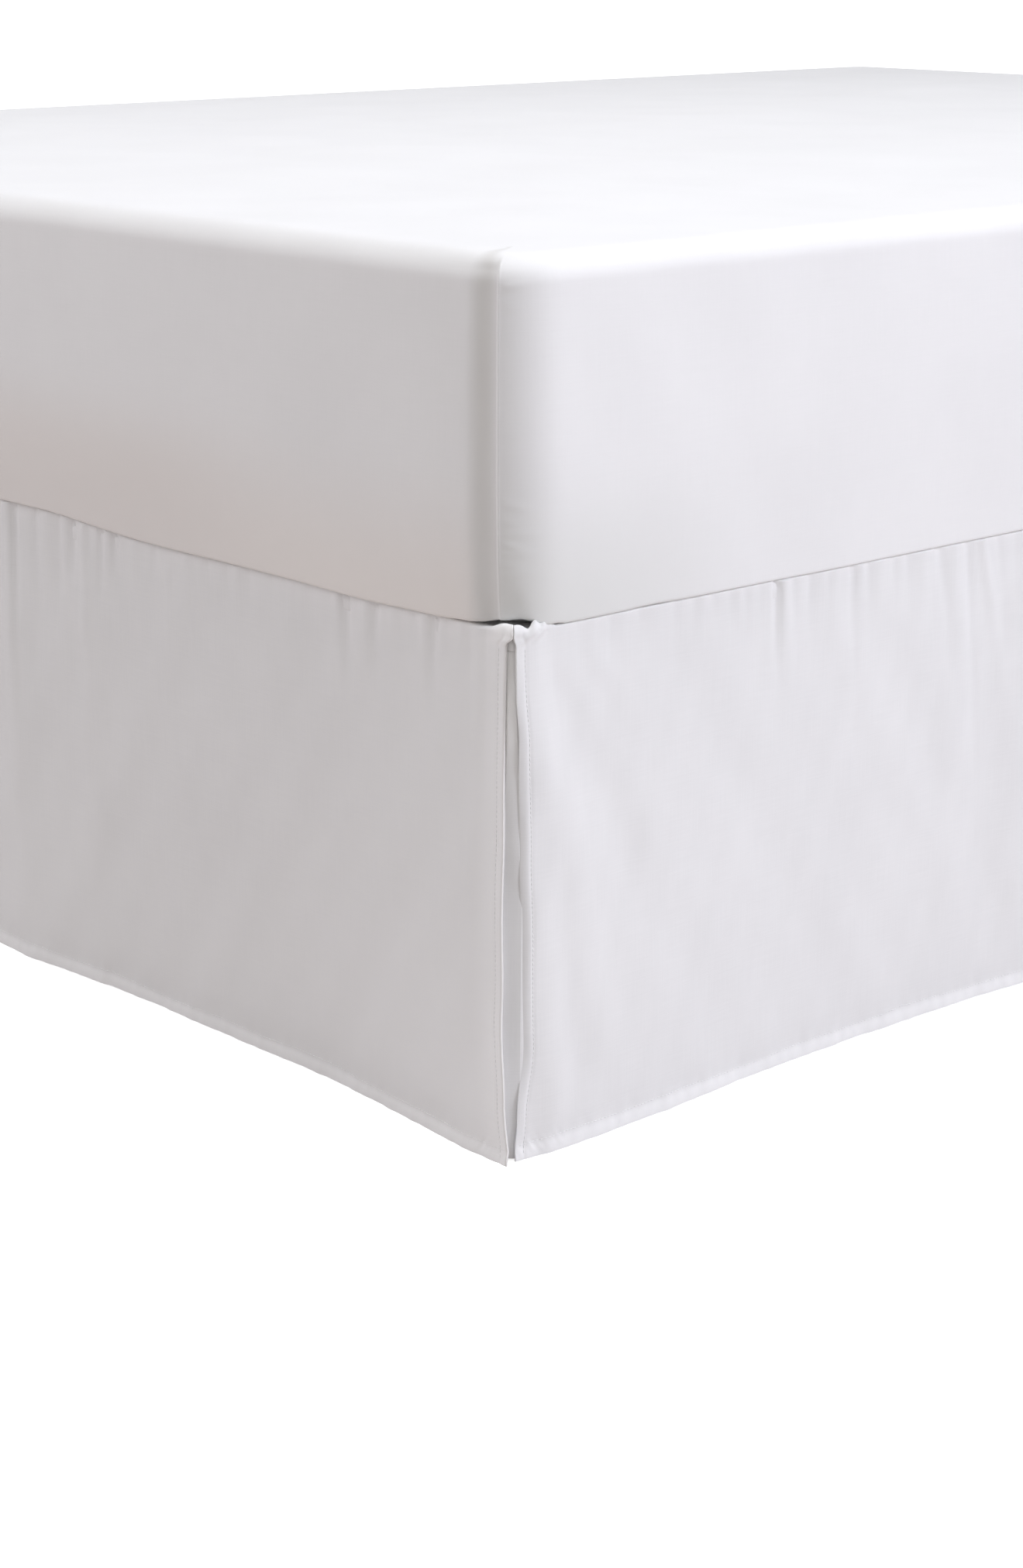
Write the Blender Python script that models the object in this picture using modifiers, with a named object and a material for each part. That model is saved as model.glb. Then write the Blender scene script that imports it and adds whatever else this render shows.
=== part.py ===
"""Tailored bed skirt with split foot corners, on a queen bed.

The skirt is a cloth deck that lies between the box spring and the mattress, with three
flat drop panels sewn round its edge (foot, left and right) and an underlap behind the
split at each foot corner. The head end is open. Mattress, box spring and a plain steel
bed frame carry it.

Metres, +Z up. The origin is on the floor under the middle of the bed. The foot of the
bed faces -Y, and the head faces +Y.
"""

import math
from collections import namedtuple

import bmesh
import bpy
from mathutils import Vector

# ---------------------------------------------------------------- driving dimensions
GAP = 0.0003            # space kept between two pieces that touch

MATTRESS_WIDTH = 1.524
MATTRESS_LENGTH = 2.032
MATTRESS_DEPTH = 0.254
MATTRESS_CORNER = 0.045         # radius of its corners seen from above
MATTRESS_TOP_EDGE = 0.020
MATTRESS_LOW_EDGE = 0.014
MATTRESS_BULGE = 0.004          # how far its sides swell at half height
MATTRESS_CROWN = 0.007          # how far its top swells in the middle
CROWN_STEPS = ((0.84, 0.55), (0.62, 0.45))      # share of the top, share of the crown

CLOTH = 0.0015                  # thickness of the skirt's cloth, its hems included
DROP = 0.381                    # length of a drop panel
HEM_CLEARANCE = 0.0050          # hem above the floor, where it hangs highest
TURN_OVER = 0.007               # the panel's top edge that turns in over the deck
TURN_RADIUS = 0.004             # outside radius of that turn
RIM_DROP = 0.012                # the deck's edge that turns down behind the panels
RIM_RADIUS = TURN_RADIUS - CLOTH - GAP
DECK_CORNER = 0.008             # radius of the deck's foot corners seen from above

SKIRT_INSET = 0.0004            # the panels' face inside the mattress's side
HEAD_INSET = 0.004              # deck and side panels stop short of the head end
SKIRT_HALF_WIDTH = MATTRESS_WIDTH / 2 - SKIRT_INSET
SKIRT_HALF_LENGTH = MATTRESS_LENGTH / 2 - SKIRT_INSET
RIM_HALF_WIDTH = SKIRT_HALF_WIDTH - CLOTH - GAP
RIM_HALF_LENGTH = SKIRT_HALF_LENGTH - CLOTH - GAP

DECK_TOP = HEM_CLEARANCE + DROP - CLOTH - GAP
DECK_BOTTOM = DECK_TOP - CLOTH

SPRING_CLEARANCE = 0.0031       # the deck's rim stands this far off the box spring
SPRING_HALF_WIDTH = RIM_HALF_WIDTH - CLOTH - SPRING_CLEARANCE
SPRING_HALF_LENGTH = RIM_HALF_LENGTH - CLOTH - SPRING_CLEARANCE
SPRING_CORNER = 0.020
SPRING_EDGE = 0.003
SPRING_HEIGHT = 0.2025
SPRING_TOP = DECK_BOTTOM - GAP
SPRING_BOTTOM = SPRING_TOP - SPRING_HEIGHT

UNDERLAP_ARM = 0.115            # how far an underlap reaches along each side
UNDERLAP_INSET = 0.0008         # its face inside the deck's rim
UNDERLAP_BEND = 0.014           # radius of its bend round the corner
UNDERLAP_FOLLOW = 0.9           # share of the panels' corner folds that it follows
UNDERLAP_HEM = 0.0035
UNDERLAP_ROWS = 8

ANGLE_SIDE = 0.038              # steel angle of the bed frame
ANGLE_WALL = 0.003
RAIL_OUTER = 0.740
RAIL_LENGTH = 1.86
CROSS_RAIL_Y = {"foot": -0.80, "middle": 0.0, "head": 0.80}
LEG_RADIUS = 0.014
LEG_X = {"left": -0.700, "centre": 0.0, "right": 0.700}
LEG_SIDES = 20
GLIDE_RADIUS = 0.021
GLIDE_HEIGHT = 0.012

WHITE_CLOTH = (0.80, 0.79, 0.79)
UNDERLAP_CLOTH = (0.74, 0.73, 0.73)
DECK_CLOTH = (0.76, 0.75, 0.74)
MATTRESS_COVER = (0.84, 0.83, 0.84)
TICKING = (0.66, 0.66, 0.67)
BROWN_STEEL = (0.07, 0.06, 0.055)
BLACK_PLASTIC = (0.03, 0.03, 0.03)

# ---------------------------------------------------------------- folds of the panels
# A fold stands out from a panel's plane. place: its middle at the top, along the panel
# from its first end. lean: how far its middle has moved along by the hem. width: from
# side to side. depth: how far it stands out at its fullest, or in if negative. start and
# full: how far down it begins and is fullest. left: the share of its depth left at the
# hem. Metres.
Fold = namedtuple("Fold", "place lean width depth start full left")

FOOT_FOLDS = (          # measured from the right foot corner
    Fold(0.00, 0.00, 0.44, 0.0115, 0.01, 0.38, 1.0),
    Fold(0.24, 0.00, 0.16, -0.0015, 0.10, 0.38, 1.0),
    Fold(0.50, 0.01, 0.06, 0.0020, 0.00, 0.08, 0.3),
    Fold(0.62, -0.02, 0.08, 0.0035, 0.00, 0.10, 0.5),
    Fold(0.61, 0.00, 0.34, 0.0090, 0.02, 0.38, 1.0),
    Fold(0.79, 0.02, 0.16, -0.0025, 0.03, 0.38, 1.0),
    Fold(0.93, 0.00, 0.20, 0.0070, 0.02, 0.38, 1.0),
    Fold(1.02, 0.03, 0.10, 0.0030, 0.00, 0.09, 0.4),
    Fold(1.16, 0.00, 0.28, 0.0050, 0.06, 0.38, 1.0),
    Fold(1.30, -0.02, 0.12, -0.0020, 0.02, 0.38, 1.0),
    Fold(1.49, -0.05, 0.06, 0.0025, 0.00, 0.09, 0.0),
    Fold(1.52, 0.00, 0.36, 0.0080, 0.01, 0.38, 1.0),
)
RIGHT_FOLDS = (         # measured from the foot
    Fold(0.11, 0.00, 0.34, 0.0085, 0.01, 0.38, 1.0),
    Fold(0.01, 0.09, 0.06, 0.0030, 0.00, 0.11, 0.0),
    Fold(0.06, 0.10, 0.06, -0.0010, 0.01, 0.12, 0.0),
    Fold(0.36, 0.00, 0.24, -0.0015, 0.08, 0.38, 1.0),
    Fold(0.46, 0.01, 0.06, 0.0020, 0.00, 0.07, 0.2),
    Fold(0.54, 0.02, 0.09, 0.0040, 0.00, 0.11, 0.5),
    Fold(0.61, 0.00, 0.28, 0.0045, 0.02, 0.38, 1.0),
    Fold(0.88, 0.00, 0.30, 0.0050, 0.05, 0.38, 1.0),
    Fold(1.12, -0.02, 0.20, -0.0025, 0.04, 0.38, 1.0),
    Fold(1.28, 0.00, 0.26, 0.0070, 0.02, 0.38, 1.0),
    Fold(1.40, 0.03, 0.10, 0.0030, 0.00, 0.10, 0.4),
    Fold(1.55, 0.00, 0.14, 0.0035, 0.01, 0.38, 1.0),
    Fold(1.74, 0.02, 0.22, -0.0020, 0.06, 0.38, 1.0),
    Fold(2.00, 0.00, 0.40, 0.0060, 0.01, 0.38, 1.0),
)
LEFT_FOLDS = (          # measured from the foot
    Fold(0.02, 0.00, 0.36, 0.0070, 0.01, 0.38, 1.0),
    Fold(0.03, 0.06, 0.06, 0.0025, 0.00, 0.10, 0.0),
    Fold(0.33, 0.00, 0.18, -0.0020, 0.06, 0.38, 1.0),
    Fold(0.47, 0.02, 0.22, 0.0055, 0.02, 0.38, 1.0),
    Fold(0.76, 0.00, 0.30, 0.0065, 0.03, 0.38, 1.0),
    Fold(0.84, -0.03, 0.10, 0.0035, 0.00, 0.10, 0.4),
    Fold(1.05, 0.00, 0.16, -0.0025, 0.05, 0.38, 1.0),
    Fold(1.33, 0.00, 0.34, 0.0060, 0.02, 0.38, 1.0),
    Fold(1.62, 0.02, 0.16, 0.0040, 0.01, 0.38, 1.0),
    Fold(2.02, 0.00, 0.34, 0.0055, 0.01, 0.38, 1.0),
)

# A split edge is not quite plumb. down: distance below the top. end: where the panel
# ends, measured along it from the corner. Metres.
Edge = namedtuple("Edge", "down end")

STRAIGHT_EDGE = (Edge(0.0, 0.0050), Edge(0.08, 0.0055), Edge(0.23, 0.0035),
                 Edge(0.38, -0.0045))
CURLED_EDGE = (Edge(0.0, 0.0035), Edge(0.06, 0.0050), Edge(0.11, 0.0100),
               Edge(0.23, 0.0085), Edge(0.38, 0.0010))
PLUMB_EDGE = (Edge(0.0, 0.0030), Edge(0.38, 0.0015))

HEM_SAG = 0.0022        # how much lower the hem hangs at a free corner
HEM_SAG_REACH = 0.16    # how far along the panel that sag dies out
FOLD_OPENING = 1.25     # a fold opens faster than it falls
TURN_STEPS = 3          # rows of the turn at the top
ROW_SHARES = (0.04, 0.11, 0.22, 0.36, 0.52, 0.68, 0.84, 1.0)    # rows below it
END_CLOSENESS = 0.07    # how much closer together the columns are at a panel's ends

Panel = namedtuple("Panel", "name corner along outward length folds first last columns")


# ---------------------------------------------------------------- small helpers
def clear_scene():
    for item in list(bpy.data.objects):
        bpy.data.objects.remove(item, do_unlink=True)


def make_material(name, colour, roughness, metallic=0.0):
    material = bpy.data.materials.new(name)
    material.use_nodes = True
    shader = material.node_tree.nodes["Principled BSDF"]
    shader.inputs["Base Color"].default_value = (*colour, 1.0)
    shader.inputs["Roughness"].default_value = roughness
    shader.inputs["Metallic"].default_value = metallic
    material.diffuse_color = (*colour, 1.0)
    return material


def adopt(item, name, material, collection):
    """Name an object and put it in the bed's collection with its material."""
    item.name = name
    item.data.name = name
    item.data.materials.clear()
    item.data.materials.append(material)
    for other in list(item.users_collection):
        other.objects.unlink(item)
    collection.objects.link(item)
    return item


def object_from_bmesh(mesh_data):
    mesh = bpy.data.meshes.new("piece")
    mesh_data.to_mesh(mesh)
    mesh_data.free()
    item = bpy.data.objects.new("piece", mesh)
    bpy.context.scene.collection.objects.link(item)
    return item


def solidify(item, thickness):
    """Give an open surface its wall, on the side away from its normals."""
    wall = item.modifiers.new("Wall", "SOLIDIFY")
    wall.thickness = thickness
    wall.offset = -1.0
    wall.use_even_offset = True
    wall.use_quality_normals = True


def smooth(item, degrees=35.0):
    item.data.shade_smooth()
    item.data.set_sharp_from_angle(angle=math.radians(degrees))


def smoothstep(value):
    value = min(max(value, 0.0), 1.0)
    return value * value * (3.0 - 2.0 * value)


# ---------------------------------------------------------------- drop panels
def fold_offset(folds, along, down):
    """How far the cloth stands out from its plane, at a place on the panel."""
    total = 0.0
    for fold in folds:
        middle = fold.place + fold.lean * down / DROP
        reach = abs(along - middle) / (fold.width / 2)
        if reach >= 1.0 or down <= fold.start:
            continue
        swell = 0.5 + 0.5 * math.cos(math.pi * reach)
        if down < fold.full:
            share = ((down - fold.start) / (fold.full - fold.start)) ** FOLD_OPENING
        else:
            share = 1.0 - (1.0 - fold.left) * (down - fold.full) / (DROP - fold.full)
        total += fold.depth * swell * share
    return total


def edge_end(edge, down):
    """Where a panel's side edge lies at a distance below the top."""
    for upper, lower in zip(edge, edge[1:]):
        if down <= lower.down:
            share = smoothstep((down - upper.down) / (lower.down - upper.down))
            return upper.end + (lower.end - upper.end) * share
    return edge[-1].end


def panel_rows():
    """Rows from the turned-in top edge to the hem: (inward, height, down)."""
    top = HEM_CLEARANCE + DROP
    rows = [(TURN_OVER, top, 0.0)]
    for step in range(TURN_STEPS + 1):
        angle = math.radians(90.0 * step / TURN_STEPS)
        inward = TURN_RADIUS * (1.0 - math.sin(angle))
        rows.append((inward, top - TURN_RADIUS * (1.0 - math.cos(angle)), 0.0))
    for share in ROW_SHARES:
        down = TURN_RADIUS + (DROP - TURN_RADIUS) * share
        rows.append((0.0, top - down, down))
    return rows


def hem_sag(panel, along, down):
    nearest = min(along, panel.length - along)
    return HEM_SAG * (1.0 - smoothstep(nearest / HEM_SAG_REACH)) * (down / DROP)


def panel_point(panel, column, row):
    inward, height, down = row
    start = edge_end(panel.first, down) + inward
    end = panel.length - edge_end(panel.last, down) - inward
    share = column / panel.columns
    share -= END_CLOSENESS * math.sin(2 * math.pi * share)
    along = start + (end - start) * share
    out = fold_offset(panel.folds, along, down) - inward
    point = panel.corner + panel.along * along + panel.outward * out
    point.z = height - hem_sag(panel, along, down)
    return point


def make_panel(panel):
    """A grid of cloth, bent over the deck's edge and hung with its folds."""
    rows = panel_rows()
    bpy.ops.mesh.primitive_grid_add(
        x_subdivisions=panel.columns, y_subdivisions=len(rows) - 1, size=1.0)
    item = bpy.context.object
    for vertex in item.data.vertices:
        column = round((vertex.co.x + 0.5) * panel.columns)
        row = round((0.5 - vertex.co.y) * (len(rows) - 1))
        vertex.co = panel_point(panel, column, rows[row])
    if panel.along.cross(Vector((0, 0, -1))).dot(panel.outward) > 0:
        item.data.flip_normals()
    solidify(item, CLOTH)
    smooth(item)
    return item


# ---------------------------------------------------------------- deck and underlaps
def make_deck():
    """The hidden platform, with its edge turned down on the foot and both sides."""
    head = MATTRESS_LENGTH / 2 - HEAD_INSET
    bpy.ops.mesh.primitive_plane_add(
        size=1.0, location=(0.0, (head - RIM_HALF_LENGTH) / 2, DECK_TOP))
    item = bpy.context.object
    item.scale = (2 * RIM_HALF_WIDTH, head + RIM_HALF_LENGTH, 1.0)
    bpy.ops.object.transform_apply(location=True, rotation=True, scale=True)
    shape = bmesh.new()
    shape.from_mesh(item.data)
    foot = [v for v in shape.verts if v.co.y < 0]
    bmesh.ops.bevel(shape, geom=foot, offset=DECK_CORNER, offset_type="OFFSET",
                    segments=4, profile=0.5, affect="VERTICES")
    hanging = [e for e in shape.edges if not all(v.co.y > head - 1e-5 for v in e.verts)]
    lowered = bmesh.ops.extrude_edge_only(shape, edges=hanging)["geom"]
    bmesh.ops.translate(shape, vec=(0.0, 0.0, -RIM_DROP),
                        verts=[g for g in lowered if isinstance(g, bmesh.types.BMVert)])
    bend = [e for e in shape.edges if len(e.link_faces) == 2
            and all(abs(v.co.z - DECK_TOP) < 1e-5 for v in e.verts)]
    bmesh.ops.bevel(shape, geom=bend, offset=RIM_RADIUS, offset_type="OFFSET",
                    segments=2, profile=0.5, affect="EDGES")
    bmesh.ops.recalc_face_normals(shape, faces=shape.faces)
    if max(shape.faces, key=lambda f: f.calc_area()).normal.z < 0:
        bmesh.ops.reverse_faces(shape, faces=shape.faces)
    shape.to_mesh(item.data)
    shape.free()
    solidify(item, CLOTH)
    smooth(item)
    return item


def underlap_path(down, foot_fold, side_fold):
    """Plan of an underlap at one height: an arm, the bend round the corner, the other arm.

    Both arms are pushed out behind the panels by the folds that start at the corner.
    """
    def pushed(fold, along):
        return UNDERLAP_FOLLOW * fold_offset((fold,), along, down)

    bend = UNDERLAP_BEND

    width = RIM_HALF_WIDTH - UNDERLAP_INSET
    length = RIM_HALF_LENGTH - UNDERLAP_INSET
    corner_x = width + pushed(side_fold, bend)
    corner_y = -length - pushed(foot_fold, bend)
    reaches = [bend + (UNDERLAP_ARM - bend) * share for share in (1.0, 0.66, 0.33)]
    points = [(corner_x - reach, -length - pushed(foot_fold, reach)) for reach in reaches]
    for degrees in range(-90, 1, 15):
        angle = math.radians(degrees)
        points.append((corner_x - bend + bend * math.cos(angle),
                       corner_y + bend + bend * math.sin(angle)))
    points += [(width + pushed(side_fold, reach), corner_y + reach)
               for reach in reversed(reaches)]
    return points


def make_underlap(foot_fold, side_fold, side):
    """The strip that hangs behind a split corner; side is 1 on the right, -1 on the left."""
    top = DECK_TOP - RIM_DROP - GAP
    heights = [top + (UNDERLAP_HEM - top) * row / UNDERLAP_ROWS
               for row in range(UNDERLAP_ROWS + 1)]
    paths = [underlap_path(HEM_CLEARANCE + DROP - height, foot_fold, side_fold)
             for height in heights]
    columns = len(paths[0]) - 1
    bpy.ops.mesh.primitive_grid_add(
        x_subdivisions=columns, y_subdivisions=UNDERLAP_ROWS, size=1.0)
    item = bpy.context.object
    for vertex in item.data.vertices:
        row = round((0.5 - vertex.co.y) * UNDERLAP_ROWS)
        x, y = paths[row][round((vertex.co.x + 0.5) * columns)]
        vertex.co = (side * x, y, heights[row])
    if side < 0:
        item.data.flip_normals()
    solidify(item, CLOTH)
    smooth(item)
    return item


# ---------------------------------------------------------------- mattress, box spring
def rounded_block(half_width, half_length, low, high, corner, steps):
    """A block with upright corners rounded; returned as a bmesh."""
    bpy.ops.mesh.primitive_cube_add(size=1.0, location=(0.0, 0.0, (low + high) / 2))
    item = bpy.context.object
    item.scale = (2 * half_width, 2 * half_length, high - low)
    bpy.ops.object.transform_apply(location=True, rotation=True, scale=True)
    shape = bmesh.new()
    shape.from_mesh(item.data)
    bpy.data.objects.remove(item, do_unlink=True)
    upright = [e for e in shape.edges
               if abs(e.verts[0].co.x - e.verts[1].co.x) < 1e-5
               and abs(e.verts[0].co.y - e.verts[1].co.y) < 1e-5]
    bmesh.ops.bevel(shape, geom=upright, offset=corner, offset_type="OFFSET",
                    segments=steps, profile=0.5, affect="EDGES")
    return shape


def round_rim(shape, level, radius, steps):
    """Round the edge that runs all the way round the block at one level."""
    rim = [e for e in shape.edges if all(abs(v.co.z - level) < 1e-5 for v in e.verts)]
    bmesh.ops.bevel(shape, geom=rim, offset=radius, offset_type="OFFSET",
                    segments=steps, profile=0.5, affect="EDGES")


def cut_level(shape, level):
    bmesh.ops.bisect_plane(shape, geom=shape.verts[:] + shape.edges[:] + shape.faces[:],
                           plane_co=(0.0, 0.0, level), plane_no=(0.0, 0.0, 1.0))


def crown_top(shape):
    """Raise the middle of the top in two steps, like a filled mattress."""
    top = max(shape.faces, key=lambda f: f.calc_area() * (f.normal.z > 0.9))
    for size, rise in CROWN_STEPS:
        bmesh.ops.inset_region(shape, faces=[top], thickness=0.004)
        bmesh.ops.scale(shape, verts=top.verts, vec=(size, size, 1.0))
        bmesh.ops.translate(shape, verts=top.verts,
                            vec=(0.0, 0.0, rise * MATTRESS_CROWN))


def make_mattress():
    low = DECK_TOP + GAP
    high = low + MATTRESS_DEPTH
    shape = rounded_block(MATTRESS_WIDTH / 2, MATTRESS_LENGTH / 2, low, high,
                          MATTRESS_CORNER, 6)
    round_rim(shape, high, MATTRESS_TOP_EDGE, 4)
    round_rim(shape, low, MATTRESS_LOW_EDGE, 3)
    for share in (0.30, 0.50, 0.70):
        cut_level(shape, low + share * MATTRESS_DEPTH)
    crown_top(shape)
    for vertex in shape.verts:
        share = (vertex.co.z - low - MATTRESS_LOW_EDGE) / (
            MATTRESS_DEPTH - MATTRESS_LOW_EDGE - MATTRESS_TOP_EDGE)
        swell = MATTRESS_BULGE * math.sin(math.pi * min(max(share, 0.0), 1.0))
        reach = max(abs(vertex.co.x) / (MATTRESS_WIDTH / 2),
                    abs(vertex.co.y) / (MATTRESS_LENGTH / 2))
        if reach > 0.9:
            vertex.co.x *= 1.0 + swell / (MATTRESS_WIDTH / 2)
            vertex.co.y *= 1.0 + swell / (MATTRESS_LENGTH / 2)
    item = object_from_bmesh(shape)
    smooth(item, 50.0)
    return item


def make_box_spring():
    shape = rounded_block(SPRING_HALF_WIDTH, SPRING_HALF_LENGTH, SPRING_BOTTOM,
                          SPRING_TOP, SPRING_CORNER, 4)
    round_rim(shape, SPRING_TOP, SPRING_EDGE, 1)
    round_rim(shape, SPRING_BOTTOM, SPRING_EDGE, 1)
    item = object_from_bmesh(shape)
    smooth(item)
    return item


# ---------------------------------------------------------------- bed frame
def make_angle(length):
    """Steel angle along Y: its flange on top towards -X, its web hanging at x = 0."""
    curve = bpy.data.curves.new("angle", "CURVE")
    curve.dimensions = "2D"
    curve.fill_mode = "BOTH"
    curve.extrude = length / 2
    outline = ((0, 0), (-ANGLE_SIDE, 0), (-ANGLE_SIDE, -ANGLE_WALL),
               (-ANGLE_WALL, -ANGLE_WALL), (-ANGLE_WALL, -ANGLE_SIDE), (0, -ANGLE_SIDE))
    spline = curve.splines.new("POLY")
    spline.points.add(len(outline) - 1)
    for point, (x, y) in zip(spline.points, outline):
        point.co = (x, y, 0.0, 1.0)
    spline.use_cyclic_u = True
    item = bpy.data.objects.new("angle", curve)
    bpy.context.scene.collection.objects.link(item)
    item.rotation_euler = (math.radians(90), 0.0, 0.0)
    return item


def make_side_rail(side):
    item = make_angle(RAIL_LENGTH)
    item.rotation_euler.z = 0.0 if side > 0 else math.pi
    item.location = (side * RAIL_OUTER, 0.0, SPRING_BOTTOM - GAP)
    return item


def make_cross_rail(place):
    inner = RAIL_OUTER - ANGLE_WALL - GAP
    item = make_angle(2 * inner)
    item.rotation_euler.z = math.radians(90)
    item.location = (0.0, place + ANGLE_SIDE / 2, cross_rail_top())
    return item


def cross_rail_top():
    return SPRING_BOTTOM - GAP - ANGLE_WALL - GAP


def make_leg(x, y):
    top = cross_rail_top() - ANGLE_WALL - GAP
    bottom = GLIDE_HEIGHT + GAP
    bpy.ops.mesh.primitive_cylinder_add(
        vertices=LEG_SIDES, radius=LEG_RADIUS, depth=top - bottom, end_fill_type="NGON",
        location=(x, y, (top + bottom) / 2))
    item = bpy.context.object
    smooth(item)
    return item


def make_glide(x, y):
    bpy.ops.mesh.primitive_cone_add(
        vertices=LEG_SIDES, radius1=GLIDE_RADIUS, radius2=LEG_RADIUS, depth=GLIDE_HEIGHT,
        end_fill_type="NGON", location=(x, y, GLIDE_HEIGHT / 2))
    item = bpy.context.object
    smooth(item)
    return item


# ---------------------------------------------------------------- the whole bed
def drop_panels():
    """The three panels: corner they start from, way they run, way they face, length."""
    width, length = SKIRT_HALF_WIDTH, SKIRT_HALF_LENGTH
    side_length = length + MATTRESS_LENGTH / 2 - HEAD_INSET
    right, left = Vector((width, -length, 0)), Vector((-width, -length, 0))
    x, y = Vector((1, 0, 0)), Vector((0, 1, 0))
    return (
        Panel("skirt_drop_foot", right, -x, -y, 2 * width,
              FOOT_FOLDS, STRAIGHT_EDGE, CURLED_EDGE, 52),
        Panel("skirt_drop_right", right, y, x, side_length,
              RIGHT_FOLDS, CURLED_EDGE, PLUMB_EDGE, 64),
        Panel("skirt_drop_left", left, y, -x, side_length,
              LEFT_FOLDS, STRAIGHT_EDGE, PLUMB_EDGE, 64),
    )


def build_skirt(collection):
    for panel in drop_panels():
        cloth = make_material(panel.name, WHITE_CLOTH, 0.85)
        adopt(make_panel(panel), panel.name, cloth, collection)
    deck = make_material("skirt_deck", DECK_CLOTH, 0.9)
    adopt(make_deck(), "skirt_deck", deck, collection)
    last = FOOT_FOLDS[-1]
    from_left = last._replace(place=2 * SKIRT_HALF_WIDTH - last.place)
    for name, foot_fold, side_fold, side in (
            ("skirt_underlap_right", FOOT_FOLDS[0], RIGHT_FOLDS[0], 1),
            ("skirt_underlap_left", from_left, LEFT_FOLDS[0], -1)):
        cloth = make_material(name, UNDERLAP_CLOTH, 0.85)
        adopt(make_underlap(foot_fold, side_fold, side), name, cloth, collection)


def build_bed(collection):
    cover = make_material("mattress", MATTRESS_COVER, 0.8)
    adopt(make_mattress(), "mattress", cover, collection)
    ticking = make_material("box_spring", TICKING, 0.9)
    adopt(make_box_spring(), "box_spring", ticking, collection)


def steel_material(name):
    return make_material(name, BROWN_STEEL, 0.45, 0.6)


def build_leg(where, x, y, collection):
    name = "leg_" + where
    adopt(make_leg(x, y), name, steel_material(name), collection)
    plastic = make_material("glide_" + where, BLACK_PLASTIC, 0.55)
    adopt(make_glide(x, y), "glide_" + where, plastic, collection)


def build_frame(collection):
    for name, side in (("rail_right", 1), ("rail_left", -1)):
        adopt(make_side_rail(side), name, steel_material(name), collection)
    for place, y in CROSS_RAIL_Y.items():
        name = "cross_rail_" + place
        adopt(make_cross_rail(y), name, steel_material(name), collection)
        for side, x in LEG_X.items():
            if side != "centre" or place == "middle":
                build_leg(place + "_" + side, x, y, collection)


def main():
    clear_scene()
    collection = bpy.data.collections.new("bed_skirt")
    bpy.context.scene.collection.children.link(collection)
    build_skirt(collection)
    build_bed(collection)
    build_frame(collection)


main()
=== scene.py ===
# %% [markdown]
# # Dressing a tailored bed skirt
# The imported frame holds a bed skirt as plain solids: three flat drop panels that are sewn
# round a hidden deck, an underlap behind the split at each foot corner, and the mattress,
# box spring and steel frame that carry them. Cloth looks real through small things, such as
# puckers under a seam, a hem that ripples, and an edge that curls. So each soft solid is
# replaced by a finer piece that keeps the place and the main folds of its solid. The hard
# pieces keep their solids and get a finish.

import math
import random
from collections import namedtuple

import bpy
import numpy as np
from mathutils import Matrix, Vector


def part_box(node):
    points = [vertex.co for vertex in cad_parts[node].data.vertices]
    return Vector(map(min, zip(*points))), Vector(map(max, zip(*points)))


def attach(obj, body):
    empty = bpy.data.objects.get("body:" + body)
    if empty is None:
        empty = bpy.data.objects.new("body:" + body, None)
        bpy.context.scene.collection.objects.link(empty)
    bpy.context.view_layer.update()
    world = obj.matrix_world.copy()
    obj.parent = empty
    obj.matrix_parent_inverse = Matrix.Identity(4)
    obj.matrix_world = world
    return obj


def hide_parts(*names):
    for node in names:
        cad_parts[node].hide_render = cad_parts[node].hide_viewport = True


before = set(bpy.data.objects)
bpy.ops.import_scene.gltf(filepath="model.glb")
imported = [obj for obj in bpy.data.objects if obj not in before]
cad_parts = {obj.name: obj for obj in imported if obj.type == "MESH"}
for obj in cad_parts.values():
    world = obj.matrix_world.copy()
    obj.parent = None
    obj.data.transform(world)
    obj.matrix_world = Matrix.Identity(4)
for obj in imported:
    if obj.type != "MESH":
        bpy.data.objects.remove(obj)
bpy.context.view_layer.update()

# %% [markdown]
# ## Sizes
# Every piece goes where its solid is, so the places are read from the frame's boxes. The
# cloth's own sizes, such as its thickness and its length of drop, are the maker's.

# %% Read the places from the frame
CLOTH = 0.0015          # thickness of the skirt's cloth
GAP = 0.0003            # space between two pieces that touch
DROP = 0.381            # length of a drop panel

deck_low, deck_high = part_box("skirt_deck")
SKIRT_HALF_WIDTH = deck_high.x + GAP + CLOTH
FOOT_Y = deck_low.y - GAP - CLOTH
TOP_Z = deck_high.z + GAP + CLOTH
WIDTH = 2 * SKIRT_HALF_WIDTH
SIDE_LENGTH = deck_high.y - FOOT_Y
print(f"panels: {WIDTH:.4f} m and {SIDE_LENGTH:.4f} m long, top {TOP_Z:.4f} m")


# %% Helpers for operators and meshes
def add_primitive(operator, name, **settings):
    """Deselect everything, add a primitive and name it."""
    bpy.ops.object.select_all(action="DESELECT")
    operator(**settings)
    item = bpy.context.object
    item.name = item.data.name = name
    return item


def apply_modifiers(item):
    bpy.ops.object.select_all(action="DESELECT")
    item.select_set(True)
    bpy.context.view_layer.objects.active = item
    for name in [modifier.name for modifier in item.modifiers]:
        bpy.ops.object.modifier_apply(modifier=name)


def print_triangles(item):
    print(item.name, "triangles:", sum(len(face.vertices) - 2 for face in item.data.polygons))


def read_points(mesh):
    """A mesh's points, one in each row of an array."""
    points = np.zeros(len(mesh.vertices) * 3)
    mesh.vertices.foreach_get("co", points)
    return points.reshape(-1, 3)


def face_corners(mesh):
    """The number of the point at each corner of each face."""
    corners = np.zeros(len(mesh.loops), dtype=int)
    mesh.loops.foreach_get("vertex_index", corners)
    return corners


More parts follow.
